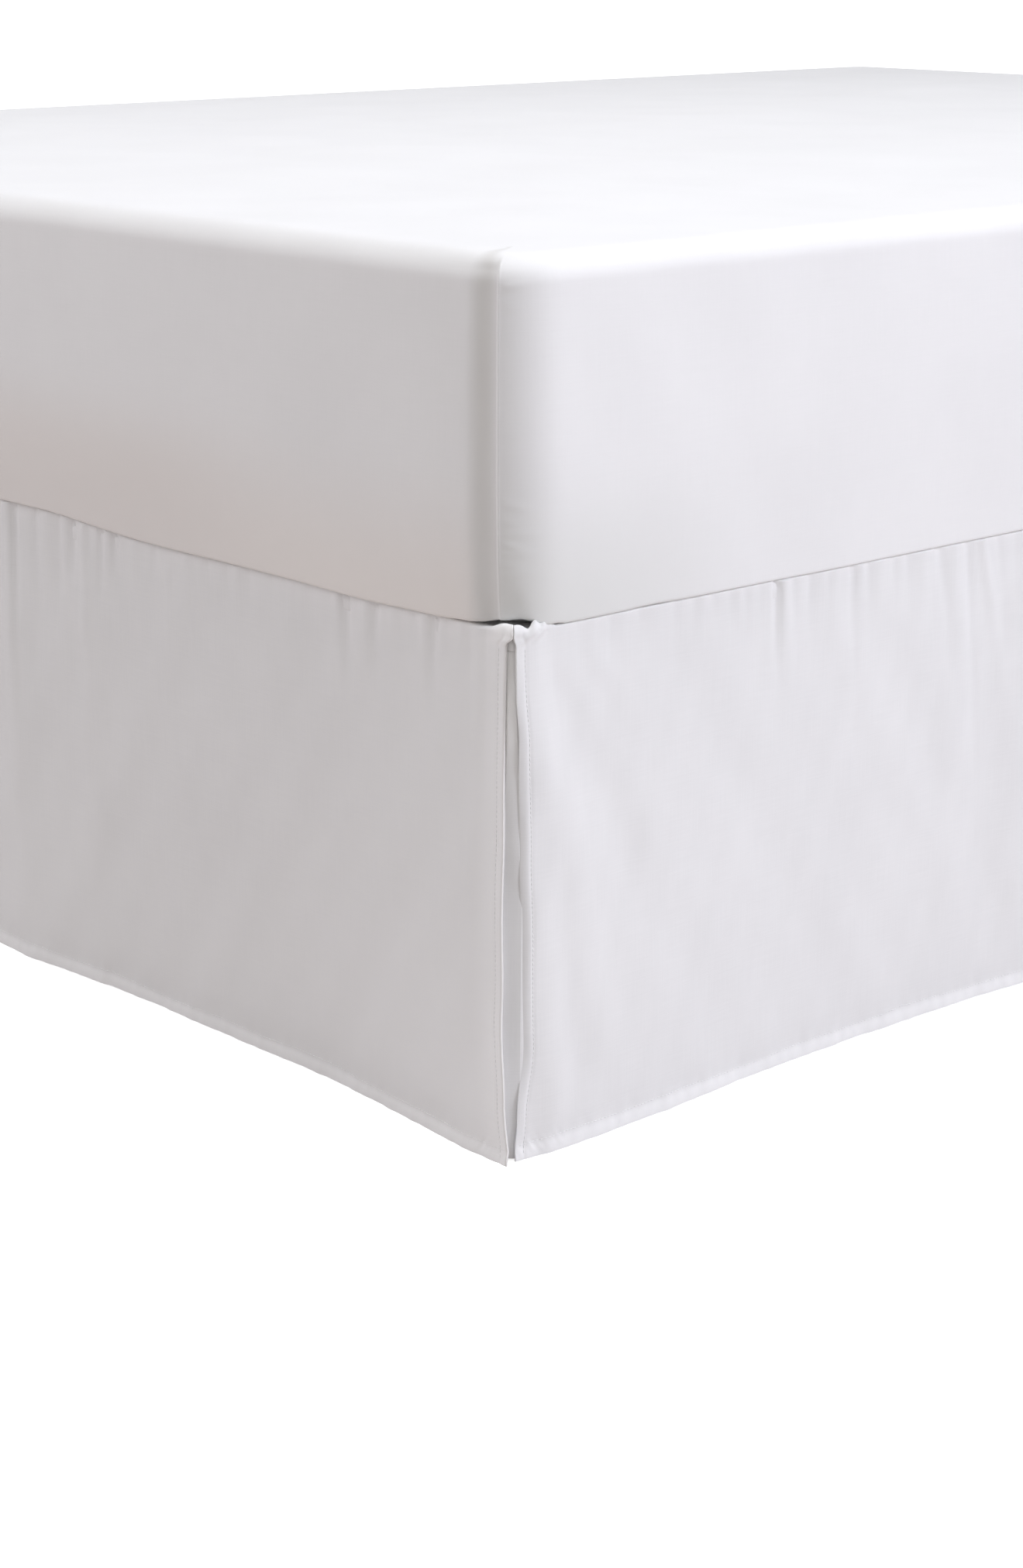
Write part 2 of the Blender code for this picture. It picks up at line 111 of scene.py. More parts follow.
def set_uv(mesh, layer, places):
    """Fill a UV map from one place for each point."""
    mesh.uv_layers[layer].data.foreach_set("uv", places[face_corners(mesh)].ravel())


def add_uv(mesh, layer, places):
    """Add a second UV map, and leave the first one active."""
    mesh.uv_layers.new(name=layer)
    set_uv(mesh, layer, places)
    mesh.uv_layers[0].active = True
    mesh.uv_layers[0].active_render = True


# %% Helpers for curves
Knot = namedtuple("Knot", "place value")    # a curve is a row of knots


def smoothstep(value):
    value = np.clip(value, 0.0, 1.0)
    return value * value * (3.0 - 2.0 * value)


def step_up(value, start, length):
    """A soft step: 0 up to the start, and 1 from a length past it."""
    return smoothstep((value - start) / length)


def bump_profile(reach):
    """A round swell: 1 in its middle, 0 at a reach of 1 or more."""
    return 0.5 + 0.5 * np.cos(np.pi * np.clip(np.abs(reach), 0.0, 1.0))


def eased(curve, places):
    """Values between the knots of a curve, joined by soft steps."""
    values = np.full_like(places, curve[-1].value)
    for (start, first), (end, last) in reversed(list(zip(curve, curve[1:]))):
        share = smoothstep((places - start) / (end - start))
        values = np.where(places <= end, first + (last - first) * share, values)
    return values


def spaced(length, spacing):
    """Shares from 0 to 1 whose spacing follows the sizes wanted along the length."""
    places, sizes = zip(*spacing)
    shares, place = [0.0], 0.0
    while place < length:
        place += float(np.interp(place, places, sizes))
        shares.append(place)
    return np.array(shares) / shares[-1]


def waves(along, lengths, seed):
    """An uneven ripple between about -1 and 1, from a few sine waves."""
    chance = random.Random(seed)
    total = np.zeros_like(along)
    for length in lengths:
        total += np.sin(2 * np.pi * along / length + chance.uniform(0.0, 6.28))
    return total / math.sqrt(len(lengths))


def in_metres(kind, *rows):
    """Rows of a table in metres, from millimetres. Only a row's first six values are lengths."""
    return tuple(kind(*(value / 1000 for value in row[:6]), *row[6:]) for row in rows)


# %% [markdown]
# ## Folds and creases
# A hanging panel has two kinds of shape. Its folds are broad and shallow, start under the
# top seam and open towards the hem: these are the folds of the solid. Its creases are
# small: a pucker where the seam gathers the cloth, a soft pull that runs down from a
# corner. Both are written as short tables in millimetres, so that each can be placed one by one
# and kept as uneven as it is on a real skirt. A cloth simulation would drape the panel too,
# but it would put the creases where it likes.

# %% The broad folds
# place: middle of the fold at the top, along the panel. lean: how far it moves along by
# the hem. width: side to side. depth: how far it stands out, or in if negative. start and
# full: how far down it begins and is fullest. left: the share of its depth at the hem.
Fold = namedtuple("Fold", "place lean width depth start full left", defaults=(0.38, 1.0))

FOOT_FOLDS = in_metres(
    Fold, (0, 0, 440, 11.5, 10), (240, 0, 160, -1.5, 100), (500, 10, 60, 2, 0, 80, 0.3),
    (620, -20, 80, 3.5, 0, 100, 0.5), (610, 0, 340, 9, 20), (790, 20, 160, -2.5, 30),
    (930, 0, 200, 7, 20), (1020, 30, 100, 3, 0, 90, 0.4), (1160, 0, 280, 5, 60),
    (1300, -20, 120, -2, 20), (1490, -50, 60, 2.5, 0, 90, 0), (1520, 0, 360, 8, 10))
RIGHT_FOLDS = in_metres(
    Fold, (110, 0, 340, 8.5, 10), (10, 90, 60, 3, 0, 110, 0), (60, 100, 60, -1, 10, 120, 0),
    (360, 0, 240, -1.5, 80), (460, 10, 60, 2, 0, 70, 0.2), (540, 20, 90, 4, 0, 110, 0.5),
    (610, 0, 280, 4.5, 20), (880, 0, 300, 5, 50), (1120, -20, 200, -2.5, 40),
    (1280, 0, 260, 7, 20), (1400, 30, 100, 3, 0, 100, 0.4), (1550, 0, 140, 3.5, 10),
    (1740, 20, 220, -2, 60), (2000, 0, 400, 6, 10))
LEFT_FOLDS = in_metres(
    Fold, (20, 0, 360, 7, 10), (30, 60, 60, 2.5, 0, 100, 0), (330, 0, 180, -2, 60),
    (470, 20, 220, 5.5, 20), (760, 0, 300, 6.5, 30), (840, -30, 100, 3.5, 0, 100, 0.4),
    (1050, 0, 160, -2.5, 50), (1330, 0, 340, 6, 20), (1620, 20, 160, 4, 10),
    (2020, 0, 340, 5.5, 10))
# Beside the free edges of the near corner's split the cloth swells or is drawn in.
RIGHT_SWELL = in_metres(
    Fold, (14, 22, 50, 2.6, 0, 140, 0.9), (85, 20, 80, -1.2, 20, 120, 0.6))
FOOT_SWELL = in_metres(
    Fold, (30, 0, 70, -1.2, 20, 150, 1))
FOLD_OPENING = 1.25     # a fold opens faster than it falls


def fold_offset(folds, along, down):
    """How far the broad folds move the cloth out of the panel's plane."""
    total = np.zeros_like(along)
    for fold in folds:
        middle = fold.place + fold.lean * down / DROP
        swell = bump_profile((along - middle) / (fold.width / 2))
        opened = np.clip((down - fold.start) / (fold.full - fold.start), 0.0, 1.0)
        below = np.clip((down - fold.full) / (DROP - fold.full), 0.0, 1.0)
        total += fold.depth * swell * opened ** FOLD_OPENING * (1 - (1 - fold.left) * below)
    return total


print("folds:", len(FOOT_FOLDS) + len(RIGHT_FOLDS) + len(LEFT_FOLDS))

# %% The small creases
# place: where it is at its top. top and foot: how far down it starts and ends. lean: how
# far it moves along on its way down. width: side to side at its top. depth: as for a fold.
Crease = namedtuple("Crease", "place top foot lean width depth")

FOOT_CREASES = in_metres(
    Crease, (35, 0, 360, 10, 18, 1.05), (53, 0, 50, 0, 14, 1.05), (69, 0, 40, 2, 10, -0.9),
    (81, 0, 100, 6, 14, -2.1), (92, 0, 60, 1, 14, 1.5), (104, 0, 40, -1, 12, -0.9),
    (126, 0, 70, 3, 18, 1.2), (158, 0, 90, 2, 20, 1.8), (145, 0, 80, 4, 14, -1.8),
    (181, 0, 120, -7, 16, -3.15), (191, 0, 60, 0, 11, 1.05), (221, 0, 60, -2, 18, -1.05),
    (243, 0, 50, 3, 14, 0.9), (266, 0, 30, 0, 12, -1.2), (294, 0, 50, 1, 14, -1.2),
    (308, 0, 60, 2, 14, 1.2), (322, 0, 40, 0, 10, -1.05), (346, 0, 50, -2, 16, -1.2),
    (372, 0, 60, 0, 18, 1.05), (397, 10, 90, 0, 10, 1.05), (413, 0, 50, 2, 12, -1.35),
    (440, 0, 70, 4, 20, 1.2), (466, 0, 50, 1, 12, -2.7), (475, 0, 50, 1, 10, 1.5),
    (485, 0, 90, 6, 11, -2.55), (508, 0, 240, 4, 16, 2.1), (524, 0, 80, 1, 12, -3),
    (536, 0, 120, 4, 14, 1.35), (543, 0, 160, 10, 15, -1.35), (560, 0, 100, 6, 20, 1.5),
    (578, 0, 140, -4, 16, -1.95), (607, 0, 220, -3, 11, -1.95), (618, 0, 500, -18, 24, 2.85),
    (640, 0, 140, -4, 16, -1.8))
RIGHT_CREASES = in_metres(
    Crease, (18, 0, 340, 40, 30, 0.7), (34, 10, 260, 90, 36, -0.5), (44, 10, 260, 130, 40, 0.6),
    (60, 20, 240, 150, 44, -0.5), (66, 10, 200, 130, 44, 0.6), (60, 0, 50, 2, 14, -0.5),
    (74, 0, 50, 2, 12, 0.7), (91, 0, 60, 2, 12, -0.8), (104, 0, 40, 0, 10, 0.6),
    (119, 0, 40, 1, 12, -0.8), (135, 0, 50, 2, 16, 0.6), (154, 0, 40, 2, 12, -0.9),
    (173, 0, 50, 0, 11, -0.8), (183, 0, 40, 1, 10, 0.7), (193, 0, 30, 0, 9, -0.9),
    (210, 0, 40, 1, 12, -0.7), (219, 0, 50, 1, 10, 0.8), (226, 0, 40, 1, 9, -0.9),
    (242, 0, 50, 2, 11, -0.9), (257.5, -10, 100, 6, 9, -3.2), (267, -10, 120, 8, 16, 2.2),
    (283, 0, 70, 4, 14, 0.8), (295, 0, 80, 2, 11, -1.3), (307, 0, 50, 2, 12, 0.9),
    (322, 0, 100, 3, 18, 1), (341, 0, 160, 10, 13, -1.5), (350, 0, 50, 3, 10, 1),
    (359, 0, 60, 2, 9, -1.3), (372, 0, 100, 4, 18, 1), (388, 0, 50, 1, 10, -1.2),
    (403, 0, 60, 4, 11, -1.2), (420, 0, 140, 10, 24, 1.2), (441, 0, 200, 36, 18, -1.6),
    (458, 0, 100, 15, 14, 1), (474, 0, 300, 30, 14, -1.6), (491, 0, 180, 46, 16, 1.6),
    (510, 0, 120, 20, 14, -1), (540, 0, 280, 16, 18, 1.4), (556, 0, 100, 10, 12, -1.2),
    (580, 0, 160, 6, 20, 1), (602, 0, 100, 4, 14, -1.1))

# Puckers of the same kind are scattered along the rest of the seam.
SCATTER_DEPTH = (0.0006, 0.0014)
SCATTER_LENGTH = (0.03, 0.09)
SCATTER_LEAN = (-0.006, 0.006)
SCATTER_WIDTH = (0.009, 0.020)
SCATTER_SPACE = (0.009, 0.030)
SHORT_SHARE = 0.8       # the others are long
LONG_LENGTH = 0.24


def scattered_creases(first, last, seed):
    """Puckers for the length of seam where none is listed."""
    chance = random.Random(seed)
    creases, place = [], first
    while place < last:
        depth = chance.choice((-1, 1)) * chance.uniform(*SCATTER_DEPTH)
        short = chance.random() < SHORT_SHARE
        length = chance.uniform(*SCATTER_LENGTH) if short else LONG_LENGTH
        creases.append(Crease(place, 0.0, length, chance.uniform(*SCATTER_LEAN),
                              chance.uniform(*SCATTER_WIDTH), depth))
        place += chance.uniform(*SCATTER_SPACE)
    return tuple(creases)


CREASE_SPREAD = 0.8     # how much wider a crease is at its foot than at its top
CREASE_GAIN = 1.2       # how much deeper the creases are than their tables say
CREASE_FADE = 1.7       # how fast a crease fades on its way down
CREASE_START = 0.15     # share of its run in which a crease from below the seam begins
CREASE_WANDER = 0.0022  # how far a crease strays from its line
CREASE_TURNS = 75.0     # how often it strays
CREASE_SHIFT = 3.0      # so that neighbours don't stray together


def crease_offset(creases, along, down):
    """How far the small creases move the cloth, square to its surface."""
    total = np.zeros_like(along)
    for crease in creases:
        run = np.clip((down - crease.top) / (crease.foot - crease.top), 0.0, 1.0)
        wander = CREASE_WANDER * np.sin(CREASE_TURNS * (down + CREASE_SHIFT * crease.place))
        middle = crease.place + crease.lean * run + wander * run
        swell = bump_profile((along - middle) / (crease.width / 2 * (1 + CREASE_SPREAD * run)))
        begun = smoothstep(run / CREASE_START) if crease.top > 0 else 1.0
        total += CREASE_GAIN * crease.depth * swell * begun * (1.0 - run) ** CREASE_FADE
    return total


print("creases placed by hand:", len(FOOT_CREASES) + len(RIGHT_CREASES))

# %% [markdown]
# ## The split corner
# Where two panels meet at a foot corner nothing joins them, so each has a free side edge.
# The left edge at the near corner hangs almost straight. The right one curls back a little
# below its top, and its seam allowance is bunched up into two small tucks and a low third
# one. A tuck is a short ridge between two points of the cloth.

# %% Side edges and tucks
# How far in from the panel's end its side edge lies, by the distance down.
STRAIGHT_EDGE = in_metres(
    Knot, (0, 0.4), (3, 0.8), (10, 7.4), (60, 8.6), (160, 7.4), (270, 5.2), (335, -1), (381, -5.2))
CURLED_EDGE = in_metres(
    Knot, (0, 0.4), (3, 0.8), (10, 3.2), (45, 3.6), (80, 5.4), (160, 7.2), (210, 8.6), (300, 8.6),
    (350, 3), (381, 0))
PLUMB_EDGE = in_metres(
    Knot, (0, 3), (380, 1.5))

# A curled edge rolls back behind its panel: how much of the panel rolls, by the distance
# down, and how far back its edge goes.
ROLL_WIDTH = in_metres(
    Knot, (0, 4), (50, 5.5), (110, 6.5), (300, 7), (350, 5.5), (381, 4))
ROLL_DEPTH = in_metres(
    Knot, (0, 0), (10, 0.2), (50, 0.9), (80, 1.8), (110, 2.6), (150, 3.6), (290, 3.6), (345, 1.4),
    (381, 0.3))

Tuck = namedtuple("Tuck", "along down to_along to_down width height")
FOOT_TUCKS = in_metres(
    Tuck, (26, -1, 0, -3, 14, 5), (24, 5, -2, 6, 11, 3))
RIGHT_TUCKS = in_metres(
    Tuck, (16, 0, -1, -3, 13, 5), (5, 8.5, 26.2, -4, 7.4, 6.2), (15.5, 8.5, 33.2, -3.6, 7, 5.4),
    (31, 2, 37, -3, 7, 1.8))
SIDE_TUCKS = in_metres(
    Tuck, (16, 0, -1, -3, 13, 3), (7, 3, 18, -5, 8, 3))
TUCK_OUTWARD = 0.45     # a tuck stands out by this share of its height
TUCK_START = 0.15       # how far a tuck has risen at its first point
TUCK_RISE = 0.7         # share of its length in which it rises


def edge_roll(from_edge, down):
    """How far a curled edge is rolled back behind its panel."""
    share = np.clip(1.0 - from_edge / eased(ROLL_WIDTH, down), 0.0, 1.0)
    return eased(ROLL_DEPTH, down) * share ** 2


def tuck_offset(tucks, along, down):
    """How high the tucks stand, by the distance along and down the cloth."""
    total = np.zeros_like(along)
    for tuck in tucks:
        run = np.array((tuck.to_along - tuck.along, tuck.to_down - tuck.down))
        past_along, past_down = along - tuck.along, down - tuck.down
        share = (past_along * run[0] + past_down * run[1]) / np.hypot(*run) ** 2
        nearest = np.clip(share, 0.0, 1.0)
        across = np.hypot(past_along - nearest * run[0], past_down - nearest * run[1])
        begun = smoothstep(TUCK_START + nearest / TUCK_RISE)
        total += tuck.height * begun * bump_profile(across / (tuck.width / 2))
    return total


print("tucks:", len(FOOT_TUCKS) + len(RIGHT_TUCKS) + len(SIDE_TUCKS))

# %% [markdown]
# ## Hems
# The hem is the cloth's own edge, turned up twice and stitched about a centimetre above the
# fold. The stitching draws the cloth in, so above it lies a soft hollow. Below it the three
# layers stand a little forward and ripple. The side edges at the splits have the same turn,
# only narrower.

# %% Profile of a hem
HEM_BAND = 0.011        # stitching above the hem's fold
HEM_WANDER = 0.10       # how far the stitching strays, as a share of that
HEM_DIP = 0.0005        # how far the stitching draws the cloth in
HEM_DIP_UNEVEN = 0.25
HEM_DIP_ABOVE = 0.013   # how far the dip reaches above the stitching, and below it
HEM_DIP_BELOW = 0.0050
HEM_FLARE = 0.0006      # how far the hem's fold stands out
HEM_RIPPLE = 0.0004     # how far the three layers ripple
RIPPLE_SHARE = 0.6      # where they ripple most, as a share of the band
RIPPLE_REACH = 0.011
HEM_PUCKER = 0.00016    # how deep the stitching's fine puckers are
PUCKER_SHARE = 0.8
PUCKER_REACH = 0.006
SIDE_HEM = 0.0075       # stitching from a side edge
SIDE_DIP = 0.0004
SIDE_DIP_REACH = 0.0016


def hem_band(along, seed):
    """How far above the hem's fold the stitching runs."""
    return HEM_BAND * (1.0 + HEM_WANDER * waves(along, (0.31, 0.13), seed))


def hem_offset(along, down, seed):
    above = DROP - down
    band = hem_band(along, seed)
    reach = np.where(above > band, HEM_DIP_ABOVE, HEM_DIP_BELOW)
    dip = HEM_DIP * np.exp(-((above - band) / reach) ** 2)
    dip *= 1.0 + HEM_DIP_UNEVEN * waves(along, (0.017, 0.0113, 0.041), seed + 1)
    flare = HEM_FLARE * np.clip(1.0 - above / band, 0.0, 1.0)
    near = np.exp(-((above - RIPPLE_SHARE * band) / RIPPLE_REACH) ** 2)
    ripple = HEM_RIPPLE * waves(along, (0.0147, 0.0232, 0.061), seed + 2) * near
    near = np.exp(-((above - PUCKER_SHARE * band) / PUCKER_REACH) ** 2)
    ripple += HEM_PUCKER * waves(along + 0.6 * above, (0.0061, 0.0083, 0.0119), seed + 5) * near
    return flare - dip + ripple


def side_hem_offset(from_edge):
    return -SIDE_DIP * np.exp(-((from_edge - SIDE_HEM) / SIDE_DIP_REACH) ** 2)


print("hem band:", HEM_BAND, "m, side hem:", SIDE_HEM, "m")

# %% [markdown]
# ## A drop panel
# A panel starts as a grid, which stands for the flat cloth. Each of its points is moved to
# where the cloth hangs: over the deck's edge in a small turn, down with the folds and
# creases, to the hem. The rows are close together where the detail is, under the top seam
# and at the hem. Solidify then gives the sheet its thickness and Bevel rounds its cut edge.
# The grid keeps a UV map in metres, so that the weave follows the cloth.

# %% Rows of the grid
TURN_OVER = 0.007       # the top edge that turns in over the deck
TURN_RADIUS = 0.0019    # of the cloth's outer face, where it turns down
TURN_STEPS = 5          # rows round the turn
TURN_ROWS = 6           # rows in the part that is turned in
# How far apart the rows lie, by the distance down.
ROW_STEPS = in_metres(
    Knot, (0, 1.6), (50, 2.2), (90, 5), (340, 5.5), (358, 1.1), (381, 0.9))

Row = namedtuple("Row", "inward height down cloth lift")


def panel_rows():
    """Rows from the turned-in edge to the hem, as arrays.

    cloth is the distance along the cloth, and lift how much the cloth faces up.
    """
    rows = []
    turned = TURN_OVER - TURN_RADIUS
    for step in range(TURN_ROWS):
        left = turned * (1.0 - step / TURN_ROWS)
        cloth = TURN_RADIUS * (1 - math.pi / 2) - left
        rows.append(Row(TURN_RADIUS + left, TOP_Z, 0.0, cloth, 1.0))
    for step in range(TURN_STEPS + 1):
        angle = math.radians(90.0 * step / TURN_STEPS)
        rows.append(Row(TURN_RADIUS * (1.0 - math.sin(angle)),
                        TOP_Z - TURN_RADIUS * (1.0 - math.cos(angle)), 0.0,
                        TURN_RADIUS * (1 - math.pi / 2 + angle), math.cos(angle)))
    hanging = DROP - TURN_RADIUS
    for share in spaced(hanging, ROW_STEPS)[1:]:
        down = TURN_RADIUS + hanging * share
        rows.append(Row(0.0, TOP_Z - down, down, down, 0.0))
    return Row(*(np.array(column) for column in zip(*rows)))


ROWS = panel_rows()
print("rows in a panel:", len(ROWS.down))

# %% Hang a panel
# along and outward: the ways it runs and faces. first and last: its two side edges. ripple:
# how strong its faint ripples are. rises: whether its top edge stands above the deck.
Panel = namedtuple("Panel", "name corner along outward length folds creases tucks first last "
                            "columns seed ripple rises", defaults=(1.0, False))
TOP_RISE = 0.0058       # a panel that rises does so towards the middle of its top edge
RISE_START = (0.42, 0.14)
RISE_END = (1.00, 0.25)
HEM_SAG = 0.0022        # at the corner itself
HEM_SAG_REACH = 0.16
QUIET_TOP = 0.05        # the taut top of a panel, above its ripples
LONG_RIPPLE = 0.00035   # faint ripples all over it, along two slants
CROSS_RIPPLE = 0.00030
EDGE_ROUND = 0.42       # size of the round of a cut edge, as a share of the cloth
EDGE_ANGLE = math.radians(65)


def top_rise(along):
    """How far the foot panel's top edge stands above the deck, by the distance along."""
    return TOP_RISE * step_up(along, *RISE_START) * smoothstep((RISE_END[0] - along) / RISE_END[1])


def from_sides(panel, along, down):
    """Distances from the panel's first and last side edges."""
    return (along - eased(panel.first, down),
            panel.length - eased(panel.last, down) - along)


def hem_sag(panel, along, down):
    """How much lower the cloth hangs towards the free corners of its hem."""
    near = np.minimum(along, panel.length - along)
    return HEM_SAG * (1.0 - smoothstep(near / HEM_SAG_REACH)) * down / DROP


def panel_offsets(panel, along, down):
    """Everything that moves the cloth, apart from its broad folds and its tucks."""
    sides = from_sides(panel, along, down)
    moved = crease_offset(panel.creases, along, np.maximum(down, 0.0))
    moved += hem_offset(along, down, panel.seed)
    for from_edge in sides:
        moved += side_hem_offset(from_edge)
    quiet = smoothstep(down / QUIET_TOP) * panel.ripple
    moved += LONG_RIPPLE * quiet * waves(along + 0.35 * down, (0.083, 0.047, 0.031),
                                         panel.seed + 3)
    moved += CROSS_RIPPLE * quiet * waves(along - 0.6 * down, (0.111, 0.067), panel.seed + 4)
    for edge, from_edge in zip((panel.first, panel.last), sides):
        if edge is CURLED_EDGE:
            moved -= edge_roll(from_edge, down)
    return moved


def panel_points(panel, shares):
    """Places of the grid's points, and their places on the two UV maps."""
    down, cloth, inward, lift = (column[:, None] for column in
                                 (ROWS.down, ROWS.cloth, ROWS.inward, ROWS.lift))
    start = eased(panel.first, down) + inward
    end = panel.length - eased(panel.last, down) - inward
    along = start + (end - start) * shares[None, :]
    down, cloth = down + 0 * along, cloth + 0 * along
    tucks = tuck_offset(panel.tucks, along, cloth)
    moved = panel_offsets(panel, along, down) + TUCK_OUTWARD * tucks
    out = fold_offset(panel.folds, along, down) - inward + moved * np.sqrt(1 - lift ** 2)
    points = np.array(panel.corner) + along[..., None] * np.array(panel.along)
    points = points + out[..., None] * np.array(panel.outward)
    points[..., 2] = ROWS.height[:, None] - hem_sag(panel, along, down) + tucks * lift
    if panel.rises:
        points[..., 2] += top_rise(along) * (1.0 - down / DROP)
    from_first, from_last = from_sides(panel, along, down)
    # A curled first edge doesn't count, so it is put a metre further away.
    from_side = np.minimum(from_first + (panel.first is CURLED_EDGE), from_last)
    return points, np.stack((along, -cloth), -1), np.stack((from_side, DROP - cloth), -1)


def give_thickness(item):
    """Wall on the inner side, and a rounded cut edge."""
    wall = item.modifiers.new("Wall", "SOLIDIFY")
    wall.thickness = CLOTH
    wall.offset = -1.0
    wall.use_even_offset = True
    wall.use_quality_normals = True
    edge = item.modifiers.new("Edge", "BEVEL")
    edge.width = CLOTH * EDGE_ROUND
    edge.segments = 2
    edge.limit_method = "ANGLE"
    edge.angle_limit = EDGE_ANGLE
    apply_modifiers(item)
    item.data.shade_smooth()
    print_triangles(item)


def make_panel(panel):
    shares = spaced(panel.length, panel.columns)
    columns, rows = len(shares) - 1, len(ROWS.down) - 1
    item = add_primitive(bpy.ops.mesh.primitive_grid_add, panel.name, size=1.0,
                         x_subdivisions=columns, y_subdivisions=rows)
    mesh = item.data
    flat = read_points(mesh)
    column = np.rint((flat[:, 0] + 0.5) * columns).astype(int)
    row = np.rint((0.5 - flat[:, 1]) * rows).astype(int)
    points, places, edges = (grid[row, column] for grid in panel_points(panel, shares))
    mesh.vertices.foreach_set("co", points.ravel())
    set_uv(mesh, 0, places)
    add_uv(mesh, "edges", edges)
    if panel.along.cross(Vector((0, 0, -1))).dot(panel.outward) > 0:
        mesh.flip_normals()
    mesh.update()
    give_thickness(item)
    return item


# %% The three panels
DETAILED = 0.66         # length of each panel from the near corner that is most detailed


def column_steps(length, coarse, fine=0.0033):
    """How far apart the columns lie: close at both ends, fine along the detailed part."""
    return (Knot(0.0, 0.0009), Knot(0.034, 0.0010), Knot(0.05, fine),
            Knot(DETAILED, fine), Knot(DETAILED + 0.1, coarse),
            Knot(length - 0.04, coarse), Knot(length - 0.02, 0.0020), Knot(length, 0.0016))


RIGHT_CORNER = Vector((SKIRT_HALF_WIDTH, FOOT_Y, 0.0))
LEFT_CORNER = Vector((-SKIRT_HALF_WIDTH, FOOT_Y, 0.0))
TO_RIGHT, TO_HEAD = Vector((1, 0, 0)), Vector((0, 1, 0))

PANELS = (
    Panel("foot_panel_cloth", RIGHT_CORNER, -TO_RIGHT, -TO_HEAD, WIDTH,
          FOOT_FOLDS + FOOT_SWELL, FOOT_CREASES + scattered_creases(0.65, 1.50, 3),
          FOOT_TUCKS, STRAIGHT_EDGE, CURLED_EDGE, column_steps(WIDTH, 0.0070), 11, rises=True),
    Panel("right_panel_cloth", RIGHT_CORNER, TO_HEAD, TO_RIGHT, SIDE_LENGTH,
          RIGHT_FOLDS + RIGHT_SWELL, RIGHT_CREASES + scattered_creases(0.625, 2.00, 5),
          RIGHT_TUCKS, CURLED_EDGE, PLUMB_EDGE, column_steps(SIDE_LENGTH, 0.0120), 23),
    Panel("left_panel_cloth", LEFT_CORNER, TO_HEAD, -TO_RIGHT, SIDE_LENGTH,
          LEFT_FOLDS, scattered_creases(0.03, 2.00, 8),
          SIDE_TUCKS, STRAIGHT_EDGE, PLUMB_EDGE,
          column_steps(SIDE_LENGTH, 0.0075, fine=0.0075), 37, ripple=0.3),
)
panel_pieces = [make_panel(panel) for panel in PANELS]

# %% [markdown]
# ## Underlaps
# Behind each split hangs a strip that is sewn to the deck's rim and bends round the corner,
# so that no light shows through the split. It hangs behind the panels and follows the folds
# that push them out at the corner. It is freer than they are, so it also waves a little.

# %% Hang the two underlaps
DECK_CORNER = 0.008     # radius of the deck's corners
RIM_DROP = 0.012        # how far the deck's rim is turned down
UNDERLAP_ARM = 0.115    # how far the strip reaches from the corner along each side
UNDERLAP_HEM = 0.0035   # its lower edge above the floor
UNDERLAP_INSET = 0.0004 # its outer face, inside the deck's edge
UNDERLAP_FLAT = 0.8     # how far its bend is a flat across the corner, and not a round
UNDERLAP_FOLLOW = 0.9   # how much of the panels' folds it follows
ARM_COLUMNS = 26        # columns of its grid in each arm, and in the bend
BEND_COLUMNS = 26
UNDERLAP_COLUMNS = 2 * ARM_COLUMNS + BEND_COLUMNS
UNDERLAP_ROWS = 90
WAVE_IN = 0.0006        # how far the underlap waves away from the panels

# The reach of its bend, by the distance down: it is creased more sharply above.
UNDERLAP_BENDS = in_metres(
    Knot, (0, 6.6), (25, 6), (45, 4.4), (65, 4), (100, 6), (150, 8), (190, 11.6), (381, 13))


def underlap_points(shares, down, foot_fold, side_fold, seed):
    """Places on an underlap, for shares of its width and distances below the top."""
    bend = eased(UNDERLAP_BENDS, down)

    def pushed(fold, along):
        return UNDERLAP_FOLLOW * fold_offset((fold,), along, down)

    width, length = deck_high.x - UNDERLAP_INSET, -deck_low.y - UNDERLAP_INSET
    corner_x = width + pushed(side_fold, bend)
    corner_y = -length - pushed(foot_fold, bend)
    bend_share = BEND_COLUMNS / UNDERLAP_COLUMNS
    arm_share = (1.0 - bend_share) / 2
    foot_arm = np.clip(1.0 - shares / arm_share, 0.0, 1.0)
    side_arm = np.clip(1.0 - (1.0 - shares) / arm_share, 0.0, 1.0)
    turned = np.clip((shares - arm_share) / bend_share, 0.0, 1.0)
    angle = turned * math.pi / 2 - math.pi / 2
    across = (1.0 - UNDERLAP_FLAT) * np.cos(angle) + UNDERLAP_FLAT * turned
    back = (1.0 - UNDERLAP_FLAT) * np.sin(angle) - UNDERLAP_FLAT * (1.0 - turned)
    foot_reach = bend + (UNDERLAP_ARM - bend) * foot_arm
    side_reach = bend + (UNDERLAP_ARM - bend) * side_arm
    x = np.where(foot_arm > 0, corner_x - foot_reach, corner_x - bend + bend * across)
    y = np.where(side_arm > 0, corner_y + side_reach, corner_y + bend + bend * back)
    x = np.where(side_arm > 0, width + pushed(side_fold, side_reach), x)
    y = np.where(foot_arm > 0, -length - pushed(foot_fold, foot_reach), y)
    run = side_reach - foot_reach + bend * (angle + math.pi / 4)
    wave = WAVE_IN * down / DROP * (1 + waves(run + 0.1 * down, (0.061, 0.037), seed)) / 2
    return np.stack((x - wave * np.cos(angle), y - wave * np.sin(angle),
                     TOP_Z - down), axis=-1), np.stack((run, -down), axis=-1)


